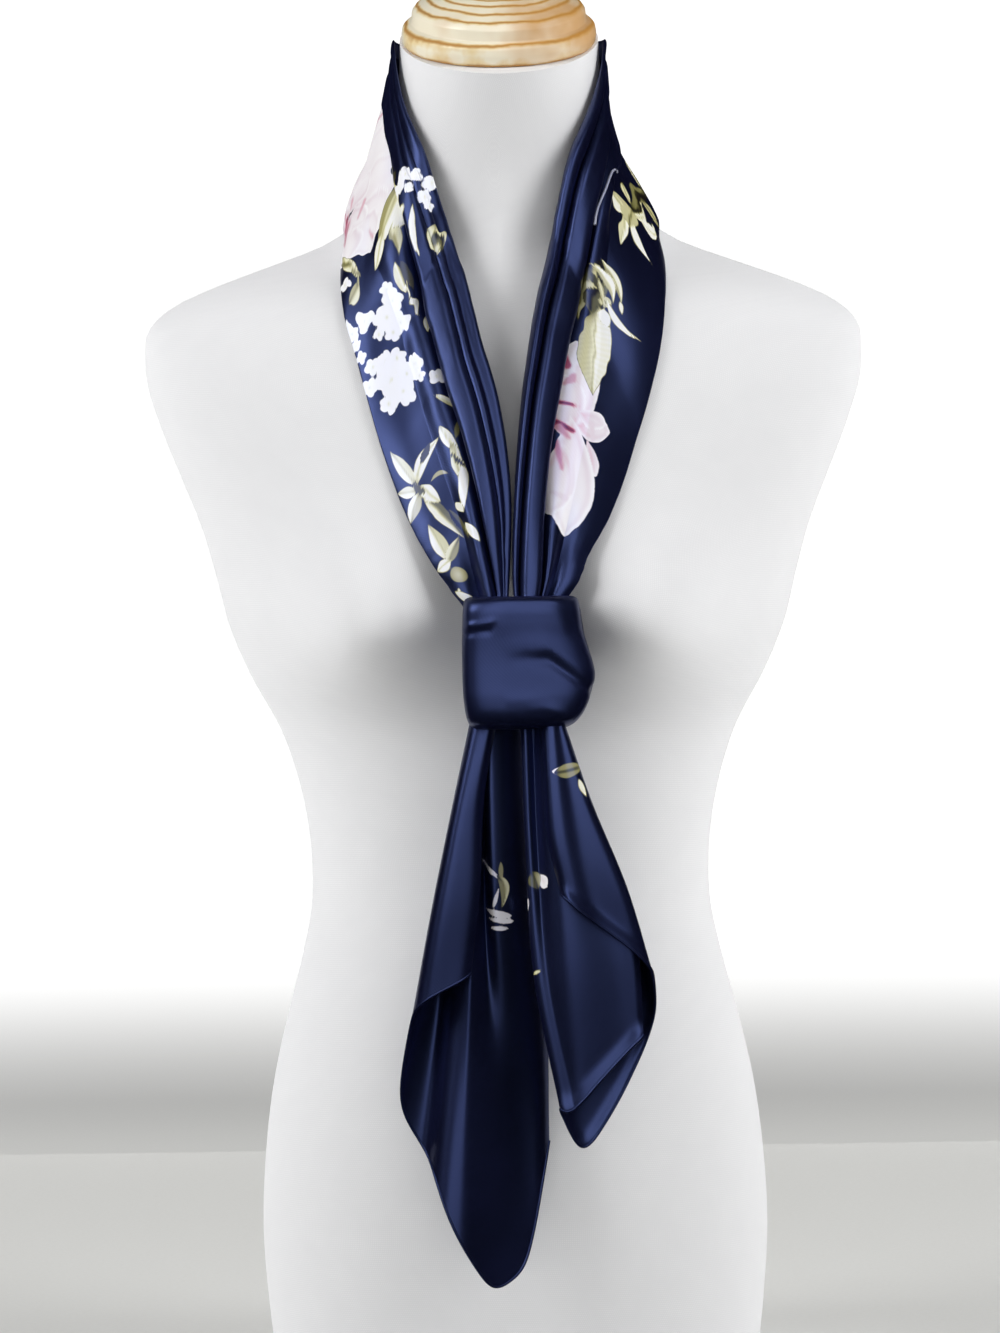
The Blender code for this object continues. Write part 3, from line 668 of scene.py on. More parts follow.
def foldShape(count, rising, pinch, power):
    # Steps from one fold line to the next, with how far each is across and up from the hollow to
    # the crest: the side is steep at a sharp crease and flat at the crest.
    step = np.arange(count + 1) / count
    up = step if rising else 1 - step
    crestRise, crestWay = superellipse((1 - up) * math.pi / 2, power)
    across = (1 - pinch) * up + pinch * (1 - crestWay)
    return step, across, (1 - pinch) * smoothStep(up, 0, 1) + pinch * crestRise


def foldedBand():
    layStops = np.linspace(0, sectionPlaces()[-1], band["layRows"] + 1)
    stops, spans = np.zeros(1), []
    for row in bandStretches:
        start, end = placesOf((row["start"], row["end"]))
        steps = round((end - start) / band["rowStep"])
        spans.append(slice(len(stops) - 1, len(stops) + steps))
        stops = np.concatenate([stops, np.linspace(start, end, steps + 1)[1:]])
    lie = laidBand(layStops)
    outs = eased(gridNormals(lie), 4)
    outs /= np.linalg.norm(outs, axis=2, keepdims=True)
    shares, heights = foldValues(foldShares, stops) / 100, foldValues(foldHeights, stops)
    lines = list(foldShares)
    at, share, height = [], [], []
    for k, count in enumerate(band["columns"]):
        rising = lines[k] in foldPinches
        pinch = foldPinches[lines[k]][1] if rising else foldPinches[lines[k + 1]][0]
        low, high = (k, k + 1) if rising else (k + 1, k)
        step, acrossUp, heightUp = foldShape(count, rising, pinch, band["crestPowers"][lines[high]])
        keep = slice(0, None if k == len(band["columns"]) - 1 else -1)
        share.append((shares[:, [low]] + (shares[:, [high]] - shares[:, [low]]) * acrossUp)[:, keep])
        height.append((heights[:, [low]] + (heights[:, [high]] - heights[:, [low]]) * heightUp)[:, keep])
        at.append(k + step[keep])
    at, share, height = np.concatenate(at), np.concatenate(share, axis=1), np.concatenate(height, axis=1)
    layShares = np.linspace(0, 1, band["layColumns"] + 1)

    def spread(grid):
        # a coarse grid read smoothly at the fine rows, and then at the folds' shares
        fine = smoothCurve(layStops, grid, stops)
        return np.stack([smoothCurve(layShares, row, places) for row, places in zip(fine, share)])

    base, out = spread(lie), spread(outs)
    out /= np.linalg.norm(out, axis=2, keepdims=True)
    over = np.gradient(base, axis=1)
    over /= np.linalg.norm(over, axis=2, keepdims=True)
    top = lines.index("roll crest")
    onRoll = smoothStep(at, top - 1, top) * (1 - smoothStep(at, top, top + 1))
    lean = band["rollLean"] * np.maximum(0, height - band["leanFrom"]) * onRoll[None, :]
    return base + out * height[..., None] - over * lean[..., None], spans


def flatPlaces(points, key):
    # the cloth's flat coordinates: along it, counted on its key column, and square across it
    along = np.gradient(points, axis=0)
    along = along[:, 1:] + along[:, :-1]
    along /= np.linalg.norm(along, axis=2, keepdims=True)
    steps = np.diff(points, axis=1)
    drift = np.sum(steps * along, axis=2)
    square = np.sqrt(np.maximum(np.sum(steps**2, axis=2) - drift**2, 0))
    first = np.zeros((len(points), 1))
    drift = np.concatenate([first, np.cumsum(drift, axis=1)], axis=1)
    across = np.concatenate([first, np.cumsum(square, axis=1)], axis=1)
    return arcLengths(points, 0)[:, [key]] + drift - drift[:, [key]], across


def foldColumn(name):
    # the column of the band's grid that lies on a fold line
    return sum(band["columns"][:list(foldShares).index(name)])


bandPoints, bandSpans = foldedBand()
bandAlong, bandAcross = flatPlaces(bandPoints, foldColumn("second crown"))
print(f"neck band laid, {np.ptp(bandAlong):.0f} mm long and {bandAcross[:, -1].max():.0f} mm across")


def thicken(piece, thickness):
    wall = piece.modifiers.new("Cloth wall", "SOLIDIFY")
    wall.thickness = thickness * mm
    wall.offset = 0.0


def sharpenEnds(piece, columns):
    # where one stretch runs on into the next, its end isn't shaded round over its cut edge
    mesh = piece.data
    ends = np.empty(2 * len(mesh.edges), np.int64)
    mesh.edges.foreach_get("vertices", ends)
    row = ends.reshape(-1, 2) // columns
    last = len(mesh.vertices) // columns - 1
    atEnd = (row[:, 0] == row[:, 1]) & ((row[:, 0] == 0) | (row[:, 0] == last))
    for edge in np.flatnonzero(atEnd):
        mesh.edges[edge].use_edge_sharp = True


# The print is drawn in the cloth's own flat millimetres: s along the band from the left knot,
# t across it from the outer edge.  Each shape runs from its foot to its tip.
# Shade is how much darker one half of a leaf is, with a minus sign for the other half; what a row
# leaves out at its end is zero.
leafColumns = ("s", "t", "toS", "toT", "width", "light", "shade", "bend")
bandLeaves = table(leafColumns, (
    # leaves by the rose at the left of the neck, and down the roll
    (263, 61, 231, 37, 21.1, 1, 0.55, 0.1),
    (237, 42, 220, 27, 7.6, 1),
    (278, 43, 262, 60, 6.6, 0.15),
    (265, 67, 267, 48, 6.6, 0.12),
    (240, 49, 218, 41, 3.6, 0.75, 0.3),
    (244, 63, 211, 58, 4, 1, 0, 2.8),
    (230, 73, 214, 65, 10.4, 0.82),
    (226, 72, 215, 69, 6.1, 0.3),
    (216, 41, 197, 42, 5.3, 0.12),
    (216, 38, 193, 40, 5.2, 1, 0.2, 2.4),
    (194, 39, 182, 40, 4.1, 1),
    (183, 44, 171, 46, 6.6, 1),
    (134, 36, 120, 54, 4.6, 1, 0.3),
    (243, 4, 216, 14, 6.4, 0.9),
    (239, 2, 228, 12, 3.6, 0.35),
    (225, 9, 219, 16, 3.5, 0.4),
    (217, 14, 204, 4, 6, 0.85, 0.3),
    # spray low on the left
    (89, 12, 113, 4, 7.7, 1, 0.2),
    (89, 12, 110, 34, 7.1, 1, 0, -4),
    (100, 18, 110, 27, 4.2, 0.1),
    (86, 11, 90, 0, 7.2, 1, 0.2),
    (85, 12, 71, 0, 7.8, 1, -0.4),
    (87, 19, 86, 32, 3, 0.5, 0, -3.7),
    (83, 13, 49, 22, 7.6, 0.95, -0.65, -0.3),
    (69, 22, 47, 25, 4.6, 0.22, 0.3),
    (89, 13, 74, 20, 8.1, 1),
    (82, 14, 92, 10, 4.3, 0.2),
    (116, 35, 96, 39, 6.6, 1),
    (104, 38, 78, 35, 6.2, 0.95, 0.15),
    (92, 40, 63, 29, 5.4, 1),
    (98, 35, 87, 40, 2.3, 0.05),
    (105, 41, 116, 46, 3.1, 0.35),
    (71, 27, 63, 29, 4.6, 0.95),
    (58, 27, 44, 30, 5.1, 1),
    # sprig by the left knot
    (39, 9, 66, 9, 8.4, 1, 0.3),
    (37, 6, 52, 20, 6, 0.85, 0.4),
    (40, 10, 37, 0, 6.9, 1),
    (24, 5, 20, 3, 2.4, 0.9),
    (24, 2, 12, 10, 4.8, 1),
    # spray high on the right
    (589, 28, 579, 41, 15.2, 0.95, 0.35),
    (590, 29, 614, 35, 7.3, 1, 0.25),
    (590, 26, 615, 11, 5.5, 1, 0, 4.4),
    (574, 22, 574, 6, 11.9, 1),
    (574, 29, 544, 15, 13.9, 0.35, 0.4),
    (574, 29, 598, 27, 10.7, 0.62),
    (579, 27, 559, 15, 6.4, 0.95),
    (556, 17, 564, 0, 6.8, 0.6),
    (559, 42, 570, 31, 8.5, 0.75),
    (527, 36, 547, 20, 6.8, 0.85),
    (522, 41, 550, 12, 6.6, 0.3),
    # curled leaves on the right, with the broad leaf under them
    (628, 42, 661, 48, 14.6, 0.22, 0.1, 1.4),
    (631, 38, 663, 38, 8.4, 0.3, 0.2, 1),
    (630, 45, 666, 47, 8.8, 0.7, 0.4, -1.3),
    (644, 41, 661, 38, 6, 0.22),
    (636, 45, 646, 38, 3.6, 0.12),
    (627, 42, 651, 27, 4.6, 0.95, 0.5, -2.6),
    (631, 47, 652, 31, 4.8, 1, 0.4, -4.4),
    (648, 38, 654, 31, 5.8, 0.7),
    (649, 34, 669, 11, 3.6, 1, 0, 4.5),
    (638, 41, 657, 34, 2.5, 0.75, 0.2, -0.8),
    (649, 28, 657, 25, 2.4, 0.95),
    (655, 36, 707, 28, 17.4, 0.95, 0.3, 2.4),
    (655, 35, 667, 30, 4.8, 1),
    # round the back
    (333, 34, 354, 47, 8, 0.95, 0.35, 2),
    (333, 34, 341, 62, 7, 0.9, 0.3, -1.5),
    (333, 32, 346, 21, 7, 1, -0.3, 1),
    (418, 58, 445, 44, 8, 0.95, 0.35, 2),
    (418, 58, 438, 73, 7, 0.85, 0.3, -2),
    (416, 60, 402, 79, 7, 1, -0.35, 1.5),
    (500, 44, 480, 33, 7, 0.95, 0.3, 1.5),
    (500, 44, 480, 61, 7, 0.85, 0.35, -1.5),
    (501, 42, 513, 66, 6, 0.95, 0.3, 1),
))
petalColumns = ("s", "t", "toS", "toT", "width", "tone", "bend")
bandPetals = table(petalColumns, (
    # rose on the right
    (735, 31, 678, 45, 20, 0.92, 2.7),
    (736, 36, 699, 45, 21, 0.86),
    (727, 33, 725, 15, 15, 0.84),
    (719, 34, 722, 18, 11, 0.86),
    (733, 25, 752, 15, 6, 0.8),
    (723, 37, 790, 16, 23, 0.95, -0.5),
    (739, 37, 781, 28, 19, 0.88, -0.8),
    # rose at the left of the neck
    (332, 40, 322, 98, 46, 0.97),
    (318, 34, 300, 76, 34, 0.97),
    (330, 40, 374, 30, 38, 0.95),
    (300, 30, 342, 72, 42, 0.98),
    (285, 20, 336, 30, 46, 0.97),
    (275, 14, 302, 64, 42, 0.97),
    (272, 14, 275, 56, 34, 0.95),
    (268, 14, 244, 40, 32, 0.95),
    (266, 12, 232, 25, 30, 0.95),
    (266, 10, 234, 6, 26, 0.93),
    (270, 8, 262, -10, 30, 0.93),
    (280, 10, 312, 0, 34, 0.93),
    (272, 12, 292, 27, 22, 0.92),
    (270, 12, 256, 23, 18, 0.92),
    (270, 10, 255, 4, 16, 0.86),
    (272, 8, 289, 2, 18, 0.88),
    # rose at the nape
    (390, 40, 360, 29, 24, 0.88),
    (390, 42, 374, 58, 24, 0.92),
    (392, 44, 400, 69, 24, 0.92),
    (394, 42, 420, 48, 24, 0.88),
    (393, 38, 411, 20, 24, 0.92),
    (389, 38, 379, 14, 24, 0.88),
    (392, 44, 377, 41, 14, 0.92),
    (392, 42, 402, 52, 14, 0.95),
    (392, 42, 397, 30, 14, 0.88),
))
# Rosy strokes on the petals: tone 0 is the deepest rose.
petalStrokes = table(("s", "t", "toS", "toT", "width", "tone"), (
    (715, 55, 716, 35, 3, 0),
    (725, 52, 731, 34, 4.8, 0),
    (730, 41, 736, 34, 3.6, 0.4),
    (739, 39, 754, 32, 3, 0.35),
    (680, 56, 693, 45, 11, 0.2),
    (700, 40, 704, 44, 5.6, 0.45),
    (693, 39, 722, 34, 2.6, 0.72),
    (723, 25, 732, 22, 3, 0.7),
    (770, 25, 768, 32, 3.4, 0.72),
    (737, 32, 766, 23, 3.6, 0.78),
    (277, 8, 261, 2, 3.2, 0.05),
    (270, 5, 252, 4, 6, 0.3),
    (263, 9, 249, 7, 3, 0.35),
    (303, 23, 293, 14, 3, 0.52),
    (286, 17, 278, 12, 2.6, 0.48),
    (271, 25, 261, 19, 2.6, 0.5),
    (315, 60, 318, 50, 3, 0.5),
    (240, 27, 246, 23, 3, 0.5),
    (288, 8, 276, 6, 2.4, 0.45),
    (394, 44, 386, 39, 3, 0.15),
    (393, 38, 400, 40, 2.6, 0.25),
))
bandBlossoms = table(("s", "t", "halfS", "halfT", "lobes", "turn"), (
    (194, 11, 9.6, 6.5, 3, 90),
    (204, 28, 5.1, 4.2, 5, 0),
    (196, 29, 6.9, 7, 5, 20),
    (188, 23, 8.4, 8.3, 6, 40),
    (182, 30, 6.2, 5.2, 5, 10),
    (178, 24, 5.3, 5.3, 5, 30),
    (180, 16, 3.9, 3.5, 4, 0),
    (163, 22, 5.7, 5.9, 5, 0),
    (163, 16, 6.4, 5.5, 5, 20),
    (163, 8, 5.5, 5, 5, 50),
    (152, 16, 11.6, 9.2, 7, 10),
    (156, 32, 6.7, 4.6, 5, 35),
    (148, 32, 3.9, 3.5, 4, 0),
    (144, 21, 10.2, 6.3, 6, 15),
    (139, 11, 5.4, 5.7, 5, 25),
    (152, 3, 5.6, 5.1, 5, 40),
    (153, 26, 6, 7.1, 5, 5),
    (261, 70, 5.6, 5.6, 5, 0),
    (255, 64, 4.4, 5.2, 5, 20),
    (253, 78, 4.6, 6.4, 5, 50),
    (246, 71, 4.6, 4.6, 5, 40),
    (240, 73, 3.2, 3.6, 4, 0),
    (144, 41, 5.1, 5, 4, 45),
    (192, 2, 5.2, 4.5, 5, 0),
    (183, 2, 4.8, 3.6, 5, 20),
    (172, 3, 4.7, 3.7, 4, 0),
    (218, 4, 4.8, 4.5, 4, 20),
    (362, 80, 6, 6, 6, 40),
    (451, 22, 10, 10, 8, 25),
    (465, 31, 6.5, 6.5, 6, 50),
    (464, 14, 6, 6, 6, 10),
    (466, 76, 9, 9, 7, 30),
    (452, 84, 6, 6, 6, 60),
))
# Golden buds, each a round one with a dark rim.
bandBuds = table(("s", "t", "radius"), ((31, 9, 4.6), (484, 82, 4.0), (366, 70, 4.0)))


def localPlace(s, t, shape):
    # where each point is along a shape from foot to tip, from 0 to 1, and how far it is beside
    # its spine and beyond its ends
    runS, runT = shape["toS"] - shape["s"], shape["toT"] - shape["t"]
    length = math.hypot(runS, runT)
    along = ((s - shape["s"]) * runS + (t - shape["t"]) * runT) / length**2
    inside = np.clip(along, 0, 1)
    beside = ((t - shape["t"]) * runS - (s - shape["s"]) * runT) / length
    beside -= shape.get("bend", 0) * 4 * inside * (1 - inside)
    return inside, beside, np.abs(along - inside) * length


def overlay(layer, edge, tone):
    # A shape drawn over a layer: edge is how far a point is inside all that is drawn, and rim
    # how far it is inside the uppermost shape alone.
    over = edge > np.minimum(layer["edge"], 0)
    layer["tone"] = np.where(over, np.clip(tone, 0, 1), layer["tone"])
    layer["rim"] = np.where(edge > 0, edge, np.maximum(layer["rim"], np.minimum(edge, 0)))
    layer["edge"] = np.maximum(layer["edge"], edge)


leafDetail = {"veinFrom": 5.5, "ribsFrom": 12}    # mm wide


def drawLeaf(layer, s, t, leaf):
    inside, beside, beyond = localPlace(s, t, leaf)
    half = leaf["width"] / 2 * np.sin(math.pi * inside**0.85)
    edge = np.where(beyond > 0, -np.hypot(beyond, beside), half - np.abs(beside))
    shade = leaf.get("shade", 0)
    side = beside / np.maximum(half, 0.3) * math.copysign(1, shade)
    tone = leaf["light"] - abs(shade) * smoothStep(side, -0.1, 0.35)
    if leaf["width"] > leafDetail["veinFrom"]:
        tone -= 0.35 * np.exp(-((beside / 0.6) ** 2)) * smoothStep(inside, 0.02, 0.2)
        tone -= 0.5 * np.exp(-((inside / 0.12) ** 2))
    if leaf["width"] > leafDetail["ribsFrom"]:
        tone += 0.03 * np.sin((inside * leaf["width"] - np.abs(side)) * 2 * math.pi)
    overlay(layer, edge, tone)


def drawPetal(layer, s, t, petal):
    inside, beside, beyond = localPlace(s, t, petal)
    half = petal["width"] / 2 * np.sin(math.pi * inside**1.3) ** 0.6
    edge = np.where(beyond > 0, -np.hypot(beyond, beside), half - np.abs(beside))
    side = beside / np.maximum(half, 0.3)
    tone = petal["tone"] - 0.20 * (1 - inside) ** 1.5
    tone -= 0.05 * (0.5 + 0.5 * np.cos(side * 9)) * (1 - inside)
    tone += 0.12 * np.exp(-((edge / 1.6) ** 2)) - 0.10 * np.exp(-(((edge - 3.2) / 1.6) ** 2))
    overlay(layer, edge, tone)


def drawBlossom(layer, s, t, blossom):
    # a flower of round florets about its middle
    size = math.sqrt(blossom["halfS"] * blossom["halfT"])
    ds, dt = (s - blossom["s"]) / blossom["halfS"], (t - blossom["t"]) / blossom["halfT"]
    away = np.hypot(ds, dt)
    edge = 0.62 - away
    for k in range(blossom["lobes"]):
        turn = math.radians(blossom["turn"]) + 2 * math.pi * k / blossom["lobes"]
        reach = 0.60 + 0.05 * math.sin(3 * turn)
        edge = np.maximum(edge, 0.42 - np.hypot(ds - reach * math.cos(turn), dt - reach * math.sin(turn)))
    tone = 1 - 0.5 * np.exp(-((away * size / 0.9) ** 2))
    overlay(layer, edge * size, tone)


def drawBud(layer, s, t, bud):
    away = np.hypot(s - bud["s"], t - bud["t"])
    overlay(layer, bud["radius"] - away, 0.66 - 0.2 * away / bud["radius"])


def drawStroke(layer, s, t, stroke):
    inside, beside, beyond = localPlace(s, t, stroke)
    half = stroke["width"] / 2 * (1 - 0.6 * inside)
    share = 1 - smoothStep(np.hypot(beside, beyond) - half, -0.6, 0.9)
    layer["tone"] += (stroke["tone"] - layer["tone"]) * share


def printOn(piece, s, t, drawn, petalsTo=1000.0):
    # every row of each table in drawn, with petals kept outside the fold at petalsTo
    bare = {"edge": -6.0, "rim": -6.0, "tone": 0.5}
    layers = {name: {kind: np.full(s.shape, value) for kind, value in bare.items()} for name in inks}
    for kind, layer, draw in (
        ("leaves", "leaf", drawLeaf), ("buds", "leaf", drawBud), ("petals", "petal", drawPetal),
        ("strokes", "petal", drawStroke), ("blossoms", "blossom", drawBlossom),
    ):
        for shape in drawn.get(kind, ()):
            draw(layers[layer], s, t, shape)
    layers["petal"]["edge"] = np.minimum(layers["petal"]["edge"], petalsTo - t)
    for name, layer in layers.items():
        for kind, values in layer.items():
            giveValues(piece, name + kind.capitalize(), values)


bandPrint = {
    "leaves": bandLeaves, "petals": bandPetals, "strokes": petalStrokes, "blossoms": bandBlossoms,
    "buds": bandBuds,
}


hemSides = 8


def hemTube(line, radius):
    # a rolled hem: a small tube along the edge of the cloth
    turn = np.linspace(0, 2 * math.pi, hemSides + 1)
    run = np.gradient(line, axis=0)
    run /= np.linalg.norm(run, axis=1, keepdims=True)
    side = np.cross(run, np.array([0.0, -1.0, 0.0]))
    side /= np.linalg.norm(side, axis=1, keepdims=True)
    up = np.cross(run, side)
    return line[:, None] + radius * (
        side[:, None] * np.cos(turn)[None, :, None] + up[:, None] * np.sin(turn)[None, :, None]
    )


shoulderHem = {
    "from": 562.0, "to": 630.0,                 # along the band
    "across": (50.5, 50.5, 52, 56, 60.5),       # at even steps from one to the other
    "radius": 0.7, "lift": 1.9, "rowsApart": 6,
}


def rightHem():
    # the hem of the ply that lies along the right of the roll, on the shoulder
    raised = bandPoints + eased(gridNormals(bandPoints), 6) * shoulderHem["lift"]
    along = bandAlong[:, foldColumn("panel crease")]
    rows = np.flatnonzero((along > shoulderHem["from"]) & (along < shoulderHem["to"]))
    stations = np.linspace(0, 1, len(shoulderHem["across"]))
    across = smoothCurve(stations, shoulderHem["across"], np.linspace(0, 1, len(rows)))
    line = np.array([
        [np.interp(place, bandAcross[row], raised[row, :, axis]) for axis in range(3)]
        for row, place in zip(rows, across)
    ])[::shoulderHem["rowsApart"]]
    for _ in range(3):
        line[1:-1] = (line[:-2] + 2 * line[1:-1] + line[2:]) / 4
    return hemTube(line, shoulderHem["radius"])


rollFoot = bandAcross[:, [foldColumn("roll foot")]]
for row, span in zip(bandStretches, bandSpans):
    stretch = newPiece(row["name"], placedGrid(bandPoints[span]), printedSilk)
    along, across = bandAlong[span], bandAcross[span]
    giveUv(stretch, along, across)
    printOn(stretch, along, across, bandPrint, rollFoot[span])
    sharpenEnds(stretch, bandPoints.shape[1])
    thicken(stretch, band["thickness"])
    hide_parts(row["node"])
    size = (across[:, -1].mean() * mm, np.ptp(along[:, foldColumn("panel crease")]) * mm)
    rolled = []
    if row["node"] == "collar_right":
        hemPoints = rightHem()
        rolled.append(newPiece("right_hem", placedGrid(hemPoints), hemSilk))
        giveUv(rolled[0], arcLengths(hemPoints, 0), arcLengths(hemPoints, 1))
print("neck band printed")

knot = {"sides": 200, "rowsPerSection": 7, "dish": 8.0}
knotSections = table(("height", "left", "right", "front", "back", "power"), (
    (355, -13, 25, -138, -120, 3.2),
    (355.6, -18, 30, -146, -116, 3.6),
    (358.2, -21.2, 35.0, -152.5, -113, 4.4),
    (363, -22.8, 39.2, -154.8, -112, 5.2),
    (371, -23.8, 43.0, -155.3, -112, 5.8),
    (380.5, -24.3, 45.4, -155.0, -112, 6.0),
    (391, -24.4, 44.5, -154.7, -112, 6.0),
    (402, -24.3, 41.6, -154.8, -112, 5.6),
    (412, -24.0, 39.8, -155.2, -113, 5.0),
    (419, -23.6, 38.8, -155.0, -114, 4.6),
    (423.8, -22.6, 37.6, -153, -116, 3.8),
    (425.4, -20.0, 35.2, -148.5, -119, 3.2),
))
# Creases in its front, and with a minus depth the soft ridges beside them.
knotCreases = table(("x", "z", "toX", "toZ", "depth", "width"), (
    (20, 393, 45, 375, 1.3, 2.4),
    (14, 401, 44, 385, -0.7, 5.5),
    (32, 426, 37, 408, 1.2, 5.0),
    (-20, 410, -8, 412, -0.7, 1.6),
    (-22, 406, -10, 407, 0.6, 1.6),
    (-6, 424, 0, 360, -0.4, 9.0),
    (6, 372, 30, 362, -0.5, 3.0),
))


def creaseDepth(x, z, creases):
    depth = np.zeros_like(x)
    for crease in creases:
        runX, runZ = crease["toX"] - crease["x"], crease["toZ"] - crease["z"]
        share = ((x - crease["x"]) * runX + (z - crease["z"]) * runZ) / (runX**2 + runZ**2)
        share = np.clip(share, 0, 1)
        off = np.hypot(x - crease["x"] - runX * share, z - crease["z"] - runZ * share)
        depth += crease["depth"] * np.exp(-((off / crease["width"]) ** 2))
    return depth


def knotMesh():
    count = len(knotSections) * knot["rowsPerSection"]
    order = np.linspace(0, len(knotSections) - 1, count + 1)
    turn = np.linspace(0, 2 * math.pi, knot["sides"] + 1)
    names = ("height", "left", "right", "front", "back", "power")
    rings = []
    for height, left, right, front, back, power in smoothCurve(
        range(len(knotSections)), column(knotSections, *names), order
    ):
        across, along = superellipse(turn, power)
        middle = np.array([(left + right) / 2, (front + back) / 2, height])
        reach = np.stack([across * (right - left) / 2, along * (back - front) / 2, 0 * turn], axis=1)
        ring = middle + reach
        depth = creaseDepth(ring[:, 0], ring[:, 2], knotCreases) * (along < 0.3)
        ring -= reach / np.linalg.norm(reach, axis=1, keepdims=True) * depth[:, None]
        rings.append(ring)
    top = rings[-1]
    middle = top.mean(axis=0)
    for scale, sink in ((0.9, 0.15), (0.82, 0.5), (0.78, 1.0)):
        rings.append(middle + (top - middle) * (scale, scale, 1) - (0, 0, sink * knot["dish"]))
    return np.array(rings)


knotPoints = knotMesh()
wrappedKnot = newPiece("wrapped_knot", placedGrid(knotPoints), plainSilk)
giveUv(wrappedKnot, arcLengths(knotPoints, 1), arcLengths(knotPoints, 0))
closeUp(wrappedKnot)
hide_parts("knot")
print("knot made")

tails = {
    "rows": 200, "columnsPerFold": 14, "top": 361.0, "thickness": 0.5, "hemRadius": 0.8,
    "crestPower": 2.2, "softening": 30,
    "hemFlare": {"long_tail": 0.0, "short_tail": 1.8},    # how far the hem stands forward
    "flareDepth": 6.0,
}
# Each row is a fold line down the tail, in order along the cloth as it is folded: x and y at each
# third of its length and the height of its end.  Crests have no pinch.
tailColumns = ("name", "x0", "x1", "x2", "x3", "y0", "y1", "y2", "y3", "hemZ", "pinch")
crest = None
longTail = table(tailColumns, (
    ("flap inner edge", -6.3, -14.3, -16.6, -22.0, -134, -138, -140, -138, 226, 0.3),
    ("flap crest", -9.0, -18.0, -21.5, -26.5, -138, -140.6, -142, -141, 222.5, crest),
    ("flap outer crest", -15.5, -27.0, -37.0, -45.5, -137, -141.2, -143, -140.5, 213, crest),
    ("left fold", -20.6, -32.5, -43.5, -53.0, -130, -132, -132, -130, 206, 0.8),
    ("back layer, far left", -19.0, -31.0, -46.5, -63.0, -122, -119, -118.5, -119, 155, 0.3),
    ("back layer, left", -15.0, -27.0, -37.0, -45.5, -121, -117, -113, -115, 127, 1),
    ("back layer, ridge left", -10.0, -20.0, -27.0, -37.0, -128, -131, -130.5, -136, 99, crest),
    ("back layer, ridge right", -9.0, -18.0, -24.5, -28.0, -128, -131, -132, -137.5, 80, crest),
    ("tip", -15.0, -14.0, -12.0, -12.7, -124, -122, -126.8, -131.5, 55.0, crest),
    ("middle ridge, left", -12.0, -10.5, 1.0, 4.0, -131.5, -132, -121, -125.5, 66, crest),
    ("middle ridge, right", -4.5, -1.5, 9.0, 10.5, -129.5, -130, -118.3, -121.5, 90, crest),
    ("right edge", 9.0, 12.0, 18.0, 18.4, -116, -113, -107, -112, 134, 0.6),
))
shortTail = table(tailColumns, (
    ("flap inner edge", 16.6, 18.3, 19.4, 26.0, -140, -145, -147, -148, 268, 0.6),
    ("flap ridge, left", 19.4, 20.5, 23.0, 30.5, -147, -151, -153, -153, 264, crest),
    ("flap ridge, right", 23.0, 25.5, 29.0, 36.0, -147.5, -151.5, -153.5, -153, 259, crest),
    ("flap hollow", 25.5, 31.5, 38.0, 46.9, -146.5, -150, -151.6, -150.5, 251, 0),
    ("flap crest", 27.0, 39.5, 55.0, 66.5, -146.5, -150.5, -152.0, -150.0, 236, crest),
    ("right fold", 28.5, 43.6, 61.5, 74.5, -141, -144, -146, -144, 226.5, 0.8),
    ("back layer, right", 27.5, 43.0, 62.5, 76.2, -136, -132, -128, -125, 204, 0.3),
    ("back layer, low right", 24.0, 38.5, 56.0, 70.5, -133, -129, -125, -122, 186, 0.3),
    ("back layer, middle", 19.0, 28.5, 41.0, 56.2, -133, -131, -129, -128, 157.3, 0.3),
    ("tip", 14.5, 19.5, 26.5, 36.0, -133, -132, -131, -131, 126.0, 0.3),
    ("left fold", 5.5, 7.2, 10.5, 23.5, -130, -131, -133, -136, 154.5, 0.8),
    ("middle layer, left crest", 8.5, 9.8, 14.0, 27.0, -134, -136.8, -140.3, -140.5, 151.5, crest),
    ("middle layer, hollow", 13.0, 14.8, 19.5, 32.0, -129.5, -133, -139.3, -140, 153.5, 0.6),
    ("middle layer, ridge", 18.5, 23.3, 30.8, 38.0, -140, -144, -145.5, -141.5, 159.5, crest),
    ("middle layer, ridge right", 22.0, 29.0, 36.5, 43.5, -140, -144, -145.5, -141.5, 166, crest),
    ("middle layer, low hollow", 24.5, 37.0, 55.0, 60.0, -137, -140.5, -143.5, -141.0, 183.5, 0),
    ("middle layer, edge crest", 26.0, 40.0, 61.5, 66.5, -138, -141.2, -144.3, -141.8, 189.5, crest),
    ("middle layer, edge", 26.5, 41.0, 64.5, 69.0, -134, -137.5, -142, -141, 192.5, 0.3),
))


